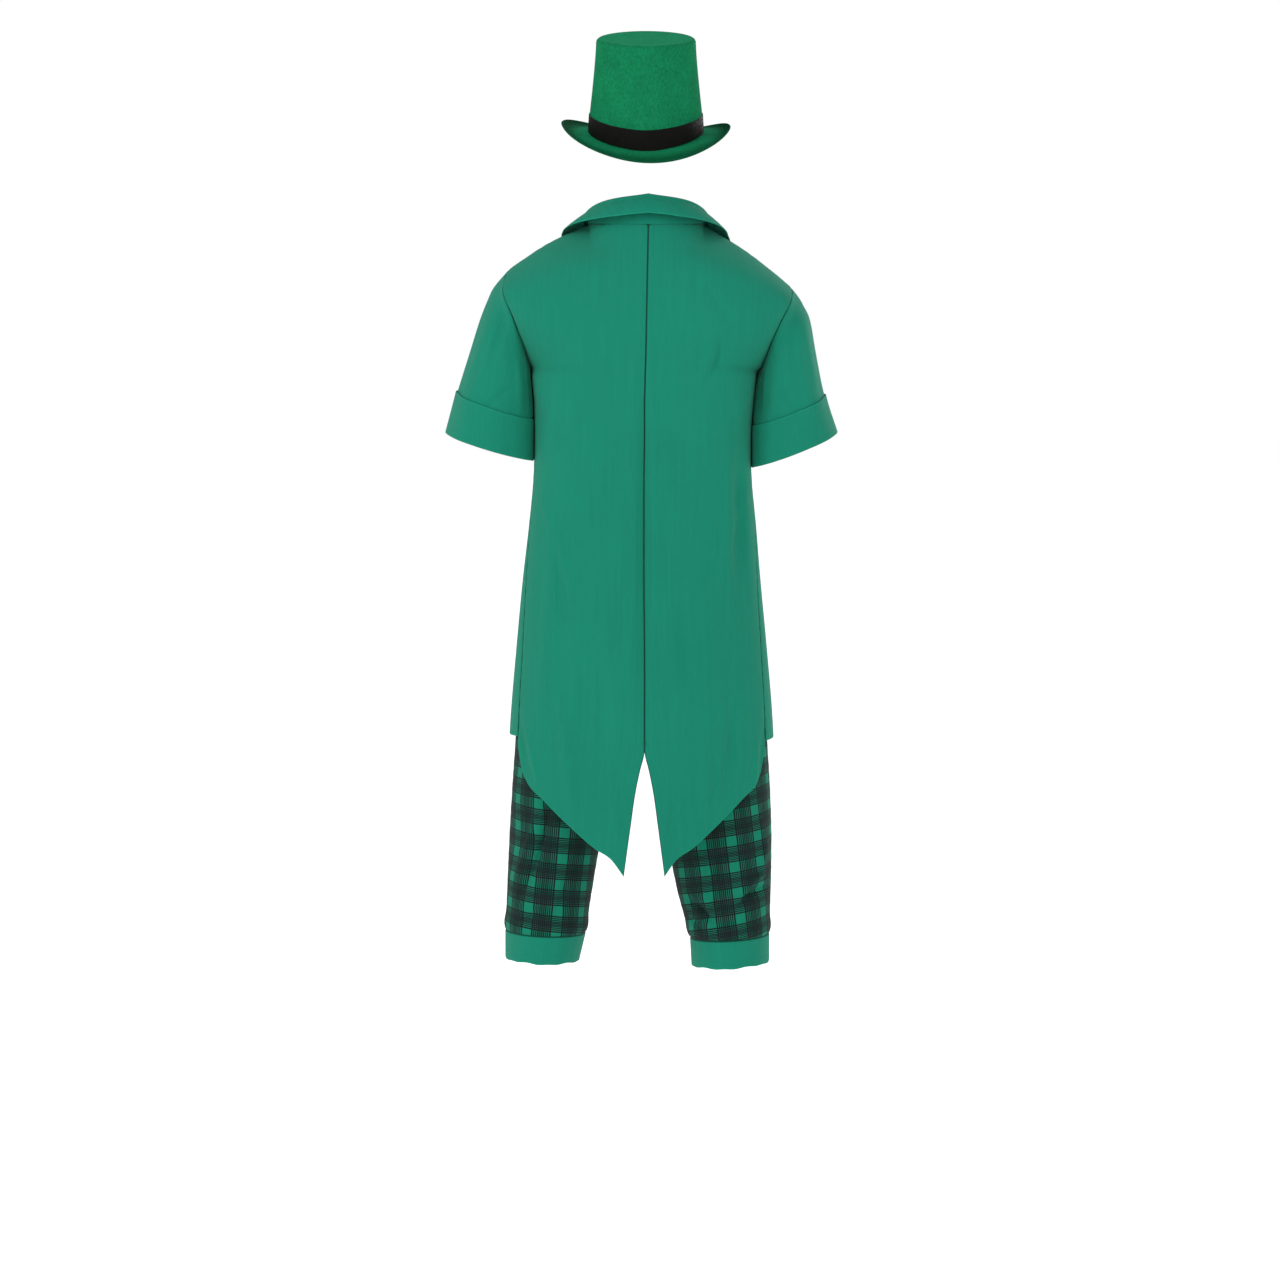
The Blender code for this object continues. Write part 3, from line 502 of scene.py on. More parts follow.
# The stage
LIGHTS = (
    ("key", (2.9, 2.4, 1.9), 1.5, "key"),
    ("fill", (-2.8, 3.0, 0.9), 1.8, "fill"),
    ("front", (-1.8, -3.4, 1.2), 2.0, "key"),
)
LIT_MIDDLE = (0.0, -0.09, -0.45)
FLOOR_NEAR = 0.8  # how far from its middle the floor's painted glow starts to grow, metres
FLOOR_FAR = 4.5
CAMERA_HEIGHT = -0.300
VIEW_HEIGHT = -0.6422  # the height at the middle of the view
VIEW_MIDDLE = 0.009
FLAT_TOP_PAINTED_LIGHT = (1.45, 1.28, 1.42, 1.0)  # painted light on the felt's upward-facing flat top, as a share of the side's colour


def hermite(t, start, leave, end, arrive):
    """A smooth curve between two values, with the ways it leaves the first and meets the second."""
    return (
        (2 * t**3 - 3 * t**2 + 1) * start
        + (t**3 - 2 * t**2 + t) * leave
        + (3 * t**2 - 2 * t**3) * end
        + (t**3 - t**2) * arrive
    )


def at(table, key):
    """The columns of a table at a key, each on a smooth curve through the rows."""
    rows = np.array(table, float)
    keys, columns = rows[:, 0], rows[:, 1:]
    slopes = np.gradient(columns, keys, axis=0)
    key = np.clip(np.asarray(key, float), keys[0], keys[-1])
    low = np.clip(np.searchsorted(keys, key, side="right") - 1, 0, len(keys) - 2)
    step = (keys[low + 1] - keys[low])[..., None]
    t = (key[..., None] - keys[low][..., None]) / step
    leave, arrive = step * slopes[low], step * slopes[low + 1]
    return np.moveaxis(hermite(t, columns[low], leave, columns[low + 1], arrive), -1, 0)


def squircle(angle, fullness):
    """The two sides of a rounded section at an angle: 0 is the middle, 90 degrees the side."""
    a = np.radians(angle)
    reach = (np.abs(np.cos(a)) ** fullness + np.abs(np.sin(a)) ** fullness) ** (-1 / fullness)
    return reach * np.sin(a), reach * np.cos(a)


def bump(value, centre, half_width):
    """A soft bump that is 1 at its centre and 0 past its half width."""
    t = np.clip(np.abs(value - centre) / half_width, 0, 1)
    return (1 - t**2) ** 2


def waves(turn, table):
    """The sum of a table of waves round a ring."""
    return sum(height * np.sin(count * turn + start) for height, count, start in table)


def length(vectors):
    """The lengths of vectors, kept as a last axis of one."""
    return np.linalg.norm(vectors, axis=-1, keepdims=True)


def folds(side, angle, height):
    """How far the broad folds of the trunk stand out at an angle and a height."""
    out = np.zeros(np.broadcast(angle, height).shape)
    for centre, width, top, bottom, depth in FOLDS_LEFT if side > 0 else FOLDS_RIGHT:
        along = bump(height, (top + bottom) / 2, (top - bottom) / 2)
        out = out + depth * along * bump(angle, centre, width)
    return out


def trunk(side, angle, height):
    """A point of the trunk: angle 0 is the centre back, 180 the centre front."""
    left, right, back, front, seam, fullness, _ = at(TRUNK, height)
    across, along = squircle(angle, fullness)
    edge = left if side > 0 else -right
    depth = np.where(along >= 0, back - SIDE_DEPTH, SIDE_DEPTH - front)
    out = folds(side, angle, height)
    x = seam + (edge - seam) * across + side * out * np.sin(np.radians(angle))
    y = SIDE_DEPTH + depth * along + out * np.cos(np.radians(angle))
    return np.stack([x, y, height + 0 * x], -1)


def trunk_level(side, part, share, level):
    """A point of a trunk panel at a share of its width, 0 in the middle, and a level."""
    height = UNDERARM + LEVEL * level
    seam_angle = at(TRUNK, height)[6]
    angle = share * seam_angle
    if part == "front":
        angle = 180 - share * (180 - seam_angle)
    return trunk(side, angle, height)


def yoke_row(side, part, share, row):
    """A point of one row of the shoulder table."""
    table = YOKE_BACK if part == "back" else YOKE_FRONT
    mid_z, mid_y, left_z, left_x, right_z, right_x, edge_y, fullness, seam = table[row]
    edge_x = left_x if side > 0 else -right_x
    edge_z = left_z if side > 0 else right_z
    across, along = squircle(ARMHOLE_TURN * share, fullness)
    last_across, last_along = squircle(ARMHOLE_TURN, fullness)
    x = seam + (edge_x - seam) * across / last_across
    y = edge_y + (mid_y - edge_y) * (along - last_along) / (1 - last_along)
    z = mid_z + (edge_z - mid_z) * share**2
    return np.stack([x, y, z + 0 * x], -1)


def top_row(side, part, share):
    """The neck seam, then the shoulder seam."""
    shoulder = np.array(SHOULDER_LEFT if side > 0 else SHOULDER_RIGHT)
    neck = np.array([side * NECK[0], NECK[1], NECK[2]])
    turn = np.radians(90 * np.clip(share / NECK_SHARE, 0, 1))
    run = np.clip((share - NECK_SHARE) / (1 - NECK_SHARE), 0, 1)[..., None]
    line = neck + (shoulder - neck) * run
    line[..., 2] += SHOULDER_RISE * np.sin(np.pi * run[..., 0])
    if part == "front":
        return line
    x = NAPE_SEAM + (neck[0] - NAPE_SEAM) * np.sin(turn)
    curve = np.stack([x, NECK[1] * (1 - np.cos(turn)), NECK[2] * np.sin(turn) ** 2], -1)
    return np.where(share[..., None] < NECK_SHARE, curve, line)


def body(side, part, share, level):
    """A point of the coat's body, in the trunk up to level 0 and in the shoulders above it."""
    share, level = np.broadcast_arrays(np.asarray(share, float), np.asarray(level, float))
    rows = [trunk_level(side, part, share, np.full(share.shape, k)) for k in (-1.0, 0.0)]
    rows += [yoke_row(side, part, share, k) for k in range(TOP_LEVEL - 1)]
    rows.append(top_row(side, part, share))
    other = "front" if part == "back" else "back"
    beyond = yoke_row(side, other, share, TOP_LEVEL - 2)
    straight = 2 * rows[-1] - rows[-2]
    over = np.clip((share - NECK_SHARE) / NECK_BLEND, 0, 1)[..., None]
    over = over * over * (3 - 2 * over)
    rows.append(straight + (beyond - straight) * over)
    rows[0] = rows[2] - 2 * (rows[1] - rows[0])
    rows = np.stack(rows)
    low = np.clip(np.floor(level).astype(int), 0, TOP_LEVEL - 1)
    t = (level - low)[..., None]
    pick = [np.take_along_axis(rows, (low + k)[None, ..., None], 0)[0] for k in range(4)]
    curve = 0.5 * (
        2 * pick[1]
        + (pick[2] - pick[0]) * t
        + (2 * pick[0] - 5 * pick[1] + 4 * pick[2] - pick[3]) * t**2
        + (3 * pick[1] - pick[0] - 3 * pick[2] + pick[3]) * t**3
    )
    low_part = trunk_level(side, part, share, np.minimum(level, 0))
    point = np.where((level > 0)[..., None], curve, low_part)
    if part == "front" and side > 0:
        point[..., 1] -= OVERLAP_LIFT * bump(share, -0.05, 0.45)
    return point


def panel_levels():
    """The levels of a panel's rows from the hip to the shoulder."""
    hip = (HIP - UNDERARM) / LEVEL
    low = np.linspace(hip, 0, TRUNK_ROWS, endpoint=False)
    return np.concatenate([low, np.linspace(0, TOP_LEVEL, TOP_LEVEL * YOKE_STEPS + 1)])


def back_grid(side):
    """The points of one half of the coat's back, rows going up from the tail's hem."""
    neck = np.linspace(0, NECK_SHARE, NECK_COLUMNS, endpoint=False)
    share = np.concatenate([neck, np.linspace(NECK_SHARE, 1, SHOULDER_COLUMNS + 1)])
    hem = at(TAIL_HEM, TAIL_HEM[0][0] + (1 - TAIL_HEM[0][0]) * share)[0]
    rows = []
    for up in np.linspace(0, 1, TAIL_ROWS, endpoint=False):
        inner = at(SLIT, TIP + (HIP - TIP) * up)[0]
        height = hem + (HIP - hem) * up
        rows.append(body(side, "back", inner + (1 - inner) * share, (height - UNDERARM) / LEVEL))
    for level in panel_levels():
        rows.append(body(side, "back", share, level))
    return np.stack(rows)


def front_grid(side):
    """The points of one front, rows going up from its straight hem."""
    share = np.linspace(0, 1, FRONT_COLUMNS)
    rows = []
    for level in np.minimum(panel_levels(), FRONT_TOP_LEVEL):
        inner = at(FRONT_EDGE, level)[0]
        row = body(side, "front", inner + (1 - inner) * share, level)
        if side < 0:
            low = np.clip((HEM_LOW_TOP - row[:, 2]) / (HEM_LOW_TOP - HIP), 0, 1) ** 2
            row[:, 2] -= HEM_LOW * low * share**2
        rows.append(row)
    return np.stack(rows)


def lapel_grid(side):
    """The points of the front that lie under a lapel."""
    first, last = LAPEL[0][0], LAPEL[-1][0]
    share = np.linspace(0, 1, LAPEL_COLUMNS)
    rows = []
    for level in np.linspace(first, last, LAPEL_ROWS):
        inner, width = at(FRONT_EDGE, level)[0], at(LAPEL, level)[0]
        drop = NOTCH * share * np.clip((level - first) / (last - first), 0, 1) ** 3
        rows.append(body(side, "front", inner + width * share, level - drop))
    return np.stack(rows)


def collar_seam(side, station):
    """The neck seam at a station."""
    if station <= 1:
        return body(side, "back", station * NECK_SHARE, float(TOP_LEVEL))
    level = TOP_LEVEL + (COLLAR_END - TOP_LEVEL) * (station - 1)
    return body(side, "front", at(FRONT_EDGE, level)[0], level)


def unit(vector):
    """A vector of length 1."""
    return vector / np.linalg.norm(vector)


def collar_ways(side, station):
    """The ways out and up at a station: level behind the neck, along the cloth in front."""
    turn = np.radians(min(90 * station, 90))
    level_out = np.array([side * math.sin(turn), math.cos(turn), 0.0])
    level = TOP_LEVEL + (COLLAR_END - TOP_LEVEL) * max(station - 1, 0)
    share = at(FRONT_EDGE, level)[0]
    here = body(side, "front", share, level)
    across = body(side, "front", share + COLLAR_LIES, level) - here
    below = here - body(side, "front", share, level - 0.3)
    cloth_up = unit(np.cross(across, below) * side)
    lies = np.clip((station - 0.1) / 0.9, 0, 1) ** 1.5
    out = unit(level_out * (1 - lies) + unit(across) * lies)
    up = unit(np.array([0, 0, 1.0]) * (1 - lies) + cloth_up * lies)
    start = unit(up * (1 - lies) - out * lies)
    return out, up, start


def collar_section(side, station):
    """One section across the collar: up the stand, round the roll and down the fall."""
    seam = collar_seam(side, station)
    out, up, away = collar_ways(side, station)
    roll_in, roll_up, fall_out, fall_down = at(COLLAR, station)
    roll = seam - out * roll_in + up * roll_up
    edge = roll + out * fall_out - up * fall_down
    standing = float(np.clip(1.6 - station, 0, 1)) ** 0.5
    start = seam + away * (COLLAR_START - COLLAR_TUCK * standing) - out * STAND_INSIDE * standing
    middle = roll - up * ROLL
    points = [start + (middle - start) * t for t in np.linspace(0, 1, STAND_STEPS, endpoint=False)]
    for turn in np.linspace(0, math.pi, ROLL_STEPS):
        points.append(middle + out * ROLL * (1 - math.cos(turn)) + up * ROLL * math.sin(turn))
    outside = points[-1]
    bow = unit(np.cross(edge - outside, np.cross(out, up))) * FALL_CURVE
    if bow @ (out + up) < 0:
        bow = -bow
    for t in np.linspace(0, 1, FALL_STEPS)[1:]:
        points.append(outside + (edge - outside) * t + bow * 4 * t * (1 - t))
    return np.stack(points)


def collar_grid():
    """The collar from its neck seam up to the roll and down to its free edge."""
    behind = np.linspace(0, 1, COLLAR_BACK_STATIONS, endpoint=False)
    half = np.concatenate([behind, np.linspace(1, 2, COLLAR_FRONT_STATIONS)])
    across = []
    for side, station in [(-1, s) for s in half[:0:-1]] + [(1, s) for s in half]:
        across.append(collar_section(side, station))
    return np.stack(across, 1)


def sleeve_ring(side, row, turn, key):
    """One ring of a sleeve: turn 0 is the underarm, and the back comes first."""
    outer_x, outer_z, inner_x, inner_z, half_depth, middle, drop = row
    mix = 0.5 - 0.5 * np.cos(turn)
    out, where, half_turn, row_middle, half_rows = SLEEVE_RIDGE
    ridge = out * bump(turn, where, half_turn) * bump(key, row_middle, half_rows)
    x = inner_x + (outer_x - inner_x) * mix + ridge
    sine = np.sin(turn)
    boxy = np.sign(sine) * np.abs(sine) ** (1 - SLEEVE_BOXY * (1 - mix) ** 2)
    y = middle + (half_depth + ridge) * boxy
    z = inner_z + (outer_z - inner_z) * mix - drop * np.sin(turn)
    beside = at(TRUNK, z)[0 if side > 0 else 1] + CLOTH + SLEEVE_GAP
    beside += (CLOTH + SEAM) * np.clip((key - CUFF_TOP) / 0.2 + 1, 0, 1)
    pressed = x - SLEEVE_PRESS * (1 - mix) ** 3
    x = np.where(x > beside, np.maximum(pressed, np.minimum(beside, x)), x)
    return np.stack([side * x, y, z], -1)


def sleeve_rings(side, keys):
    """The rings of a sleeve at rows of its table."""
    turn = np.arange(2 * TOP_LEVEL * SLEEVE_STEPS) / (TOP_LEVEL * SLEEVE_STEPS) * np.pi
    table = SLEEVE_LEFT if side > 0 else SLEEVE_RIGHT
    keyed = [(k, *row) for k, row in enumerate(table)]
    return np.stack([sleeve_ring(side, at(keyed, key), turn, key) for key in keys])


def sleeve_grid(side):
    """The points of a sleeve, rings going down from the armhole to the hem."""
    levels = np.linspace(0, TOP_LEVEL, TOP_LEVEL * SLEEVE_STEPS + 1)
    back = body(side, "back", 1.0, levels)
    front = body(side, "front", 1.0, levels)
    ring = np.concatenate([back, front[-2:0:-1]])
    below = sleeve_rings(side, np.linspace(0, 4, SLEEVE_ROWS))
    ahead = below[1] - below[0]
    straight = below[0] - ring
    ahead = ahead / length(ahead) * length(straight)
    steps = np.linspace(0, 1, SLEEVE_HEAD_ROWS, endpoint=False)
    head = [hermite(t, ring, straight, below[0], ahead) for t in steps]
    return np.concatenate([np.stack(head), below])


def leg_grid(side, part):
    """The points of one leg panel of the breeches, rows going up from the knee."""
    table = LEG_LEFT if side > 0 else LEG_RIGHT
    share = np.linspace(0, 1, LEG_COLUMNS)
    facing = 1 if part == "back" else -1
    rows = []
    drop, slope = KNEE_DROP[side]
    for height in np.linspace(table[0][0], table[-1][0], LEG_ROWS):
        side_x, axis, half_depth, middle = at(table, height)
        half = side_x - axis
        start = -np.arcsin(np.clip(axis / half, 0, 1))
        angle = start + (np.pi / 2 - start) * share
        x = axis + half * np.sin(angle) + CROTCH_GAP / 2
        y = middle + facing * (half_depth * np.cos(angle) + INSEAM_GAP * (1 - share))
        low = np.clip((KNEE_DROP_TOP - height) / (KNEE_DROP_TOP - table[0][0]), 0, 1) ** 1.5
        inward = np.clip((side_x - x) / (2 * half), 0, 1)
        rows.append(np.stack([side * x, y, height - low * (drop + slope * inward)], -1))
    return np.stack(rows)


def leg_ring(side, row):
    """The whole ring of a leg at a row of its panels, back first."""
    back, front = leg_grid(side, "back")[row], leg_grid(side, "front")[row]
    return np.concatenate([back, front[-2:0:-1]])


def hat_place(points):
    """Points of the hat, tilted back and put on top of the figure."""
    tilt = math.radians(HAT_TILT)
    turn = np.array([
        [1, 0, 0],
        [0, math.cos(tilt), math.sin(tilt)],
        [0, -math.sin(tilt), math.cos(tilt)],
    ])
    return points @ turn.T + np.array(HAT_PLACE)


def hat_ring(half_width, half_length, height, saddle):
    """An oval ring of the hat that rises at the sides by the saddle's amount."""
    turn = np.linspace(0, 2 * np.pi, HAT_COLUMNS, endpoint=False)
    rise = -saddle * np.cos(2 * turn)
    return np.stack([half_width * np.sin(turn), half_length * np.cos(turn), height + rise], -1)


def crown_rows(heights):
    """Rings of the crown's side at some heights."""
    rows = []
    for height in heights:
        half_width, half_length = at(CROWN, height)
        saddle = SADDLE * (1 - height / CROWN_TOP) ** 1.5
        rows.append(hat_ring(half_width, half_length, height, saddle))
    return rows


def crown_grid():
    """The crown from its base to the top edge and in over the flat top."""
    rows = crown_rows(np.linspace(0, CROWN_TOP - CROWN_CORNER, CROWN_ROWS))
    half_width, half_length = at(CROWN, CROWN_TOP - CROWN_CORNER)
    for turn in np.linspace(0, math.pi / 2, CORNER_STEPS)[1:]:
        drawn = CROWN_CORNER * (1 - math.cos(turn))
        height = CROWN_TOP - CROWN_CORNER * (1 - math.sin(turn))
        rows.append(hat_ring(half_width - drawn, half_length - drawn, height, 0))
    flat_width, flat_length = half_width - CROWN_CORNER, half_length - CROWN_CORNER
    for share in np.linspace(1, 0.02, FLAT_TOP_ROWS)[1:]:
        dip = CROWN_DIP * (1 - share**2)
        rows.append(hat_ring(flat_width * share, flat_length * share, CROWN_TOP - dip, 0))
    return hat_place(np.stack(rows))


def brim_grid():
    """The brim from beside the crown to its curled edge."""
    turn = np.linspace(0, 2 * np.pi, HAT_COLUMNS, endpoint=False)
    rows = []
    for share in np.linspace(0, 1, BRIM_ROWS):
        run, side_rise, end_rise = at(BRIM, share)
        half_width, half_length = CROWN[0][1] + BRIM_GAP + run, CROWN[0][2] + BRIM_GAP + run
        ring = hat_ring(half_width, half_length, 0, SADDLE)
        uneven = share**2 * waves(turn, BRIM_WAVES)
        ring[:, 2] += side_rise * np.sin(turn) ** 2 + end_rise * np.cos(turn) ** 2 + uneven
        rows.append(ring)
    return hat_place(np.stack(rows))


def normals(grid, tube, sign):
    """The outward normal at each point of a grid."""
    if tube:
        along = np.roll(grid, -1, 1) - np.roll(grid, 1, 1)
    else:
        along = np.gradient(grid, axis=1, edge_order=2)
    up = np.gradient(grid, axis=0, edge_order=2 if len(grid) > 2 else 1)
    n = sign * np.cross(up, along)
    return n / length(n)


def run_of(grid, axis):
    """The distance run along the lines of a grid from their first points."""
    steps = length(np.diff(grid, axis=axis))[..., 0]
    zero = np.zeros_like(np.take(steps, [0], axis))
    return np.cumsum(np.concatenate([zero, steps], axis), axis)


def away_from(grid, number):
    """The distance of each point from an edge: first row, last row, first column, last column."""
    axis = number // 2
    away = run_of(grid, axis)
    if number % 2:
        away = np.take(away, [-1], axis) - away
    return away


def crease_height(grid, normal, creases, facing):
    """How far a table of creases stands out on the side of a cloth that faces one way."""
    x, z = grid[..., 0], grid[..., 2]
    out = np.zeros(x.shape)
    for x0, z0, x1, z1, bow, half_width, depth, lean in creases:
        run = math.hypot(x1 - x0, z1 - z0)
        along = ((x - x0) * (x1 - x0) + (z - z0) * (z1 - z0)) / run**2
        aside = ((x - x0) * (z1 - z0) - (z - z0) * (x1 - x0)) / run
        aside = aside - bow * 4 * np.clip(along * (1 - along), 0, 1)
        width = half_width * (1 + lean * np.tanh(aside / half_width))
        out += depth * bump(along, 0.5, 0.62) * bump(aside, 0, width)
    return out * np.clip(normal[..., 1] * facing * 1.6, 0, 1)


def pucker_height(grid, edges, amount):
    """The dip of a sewn seam, and the small waves that it draws into the cloth beside it."""
    out = np.zeros(grid.shape[:2])
    for number, kind in enumerate(edges):
        if kind not in ("seam", "tuck"):
            continue
        away = away_from(grid, number)
        beside = run_of(grid, 1 - number // 2) * 2 * np.pi
        wave = np.sin(beside / PUCKER_PITCH + 1.7 * np.sin(beside / PUCKER_DRIFT + number))
        dip = DIP_SHARE * np.exp(-away / DIP_REACH)
        out += amount * (wave * np.exp(-away / PUCKER_REACH) - dip)
    return out


def slit_edge(points):
    """The middle edge of the back: a hem along the slit and a seam above it."""
    return np.clip((points[:, 2] - SLIT_TOP) / 0.006, 0, 1)


def edge_rows(kind, points):
    """The extra lines of an edge at its points. A function gives how far it is a seam there."""
    if kind in EDGES:
        return np.repeat(np.array(EDGES[kind])[:, None], len(points), 1)
    hem, seam = np.array(EDGES["hem"])[:, None], np.array(EDGES["seam"])[:, None]
    return hem + (seam - hem) * kind(points)[None, :, None]


def edged(lines, kinds):
    """Lines close to both ends of a set. The last two values are the shares of thickness kept."""
    for end, kind in enumerate(kinds):
        if kind is None:
            continue
        if end:
            lines = lines[::-1]
        edge, inside = lines[0], lines[1]
        rows = edge_rows(kind, edge[..., :3])
        gap = length(inside[..., :3] - edge[..., :3])
        room = np.minimum(1, 0.85 * gap / rows[-1, :, :1])
        rims = edge + (inside - edge) * (rows[..., :1] * room / gap)
        rims[..., -2:] = np.minimum(rims[..., -2:], rows[..., 1:])
        lines = np.concatenate([rims, lines[1:]])
        if end:
            lines = lines[::-1]
    return lines


def wall_faces(rows, columns, tube, capped, sign):
    """The faces of a closed wall as vertex numbers, each with its places in the UV grid."""
    count = rows * columns
    wide = columns + 1 if tube else columns
    last = columns if tube else columns - 1
    faces = []

    def vert(skin, i, j):
        return skin * count + i * columns + j % columns

    def add(corners):
        corners = corners if sign < 0 else corners[::-1]
        faces.append(([vert(*c) for c in corners], [c[1] * wide + c[2] for c in corners]))

    for i in range(rows - 1):
        for j in range(last):
            add([(0, i, j), (0, i, j + 1), (0, i + 1, j + 1), (0, i + 1, j)])
            add([(1, i, j), (1, i + 1, j), (1, i + 1, j + 1), (1, i, j + 1)])
    top = rows - 1
    for j in range(last):
        add([(0, 0, j + 1), (0, 0, j), (1, 0, j), (1, 0, j + 1)])
        if not capped:
            add([(0, top, j), (0, top, j + 1), (1, top, j + 1), (1, top, j)])
    if capped:
        add([(0, top, j) for j in range(columns)])
        add([(1, top, j) for j in range(columns)][::-1])
    if not tube:
        for i in range(rows - 1):
            add([(0, i, 0), (0, i + 1, 0), (1, i + 1, 0), (1, i, 0)])
            add([(0, i + 1, last), (0, i, last), (1, i, last), (1, i + 1, last)])
    return faces


def wall_object(name, outer, inner, uv, away, sign, tube, capped):
    """A closed wall between an outer and an inner grid, with its UV map and edge distances."""
    rows, columns = outer.shape[:2]
    faces = wall_faces(rows, columns, tube, capped, sign)
    points = np.concatenate([outer.reshape(-1, 3), inner.reshape(-1, 3)])
    mesh = bpy.data.meshes.new(name)
    mesh.from_pydata(points.tolist(), [], [face[0] for face in faces])
    places = np.concatenate([face[1] for face in faces])
    layer = mesh.uv_layers.new(name="cut")
    layer.data.foreach_set("uv", uv.reshape(-1, 2)[places].astype(np.float32).ravel())
    for number, kind in enumerate(("hem", "seam")):
        attribute = mesh.attributes.new(kind, "FLOAT", "POINT")
        values = np.tile(away[..., number].ravel(), 2)
        attribute.data.foreach_set("value", values.astype(np.float32))
    mesh.shade_smooth()
    mesh.update()
    piece = bpy.data.objects.new(name, mesh)
    bpy.context.scene.collection.objects.link(piece)
    return piece


def plain_uv(grid):
    """Distances across and along a cloth, in metres."""
    across = run_of(grid, 1)
    return np.stack([across - across[:, :1], run_of(grid, 0)], -1)


def edge_distance(grid, edges, sought):
    """The distance of each point from the nearest edge of a kind, as far as it is kept."""
    nearest = np.full(grid.shape[:2], EDGE_REACH)
    for number, kind in enumerate(edges):
        if kind == sought or (kind in ("tuck", slit_edge) and sought == "seam"):
            nearest = np.minimum(nearest, away_from(grid, number))
    return nearest


def cloth(name, grid, sign, edges, thick=CLOTH, lift=0.0, tube=False, capped=False, uv=None,
          creases=((), ()), depth=1.0, pucker=0.0, extra=None):
    """A piece of cloth on a grid. Edges are the kinds of its first and last row and column."""
    normal = normals(grid, tube, sign)
    height = depth * crease_height(grid, normal, creases[0], 1)
    height += depth * crease_height(grid, normal, creases[1], -1)
    height += pucker_height(grid, edges, pucker)
    if extra is not None:
        height += extra
    grid = grid + normal * height[..., None]
    normal = normals(grid, tube, sign)
    uv = plain_uv(grid) if uv is None else uv(grid)
    away = np.stack([edge_distance(grid, edges, kind) for kind in ("hem", "seam")], -1)
    full = np.ones((*grid.shape[:2], 2))
    lines = edged(np.concatenate([grid, normal, uv, away, full], -1), edges[:2])
    if not tube:
        lines = np.moveaxis(edged(np.moveaxis(lines, 1, 0), edges[2:]), 1, 0)
    middle, normal = lines[..., :3], lines[..., 3:6]
    normal = normal / length(normal)
    outer = middle + normal * (lift + thick / 2 * lines[..., 10:11])
    inner = middle + normal * (lift - thick / 2 * lines[..., 11:12])
    uv = lines[..., 6:8]
    if tube:
        closing = uv[:, -1] + np.array([1, 0]) * length(middle[:, 0] - middle[:, -1])
        uv = np.concatenate([uv, closing[:, None]], 1)
    return wall_object(name, outer, inner, uv, lines[..., 8:10], sign, tube, capped)


def closed(grid, tube):
    """A grid, with its first column again at the end where it is a tube."""
    return np.concatenate([grid, grid[:, :1]], 1) if tube else grid


def declare(piece, node, material, grid, tube=False):
    """Gives a piece its finish, hangs it on the root, hides the part of the model that it replaces,
    and works out the size of the cloth that it is cut from.
    """
    piece.data.materials.append(material)
    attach(piece, "root")
    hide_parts(node)
    wide = closed(grid, tube)
    width = float(run_of(wide, 1).max())
    long = float(run_of(grid, 0).max())


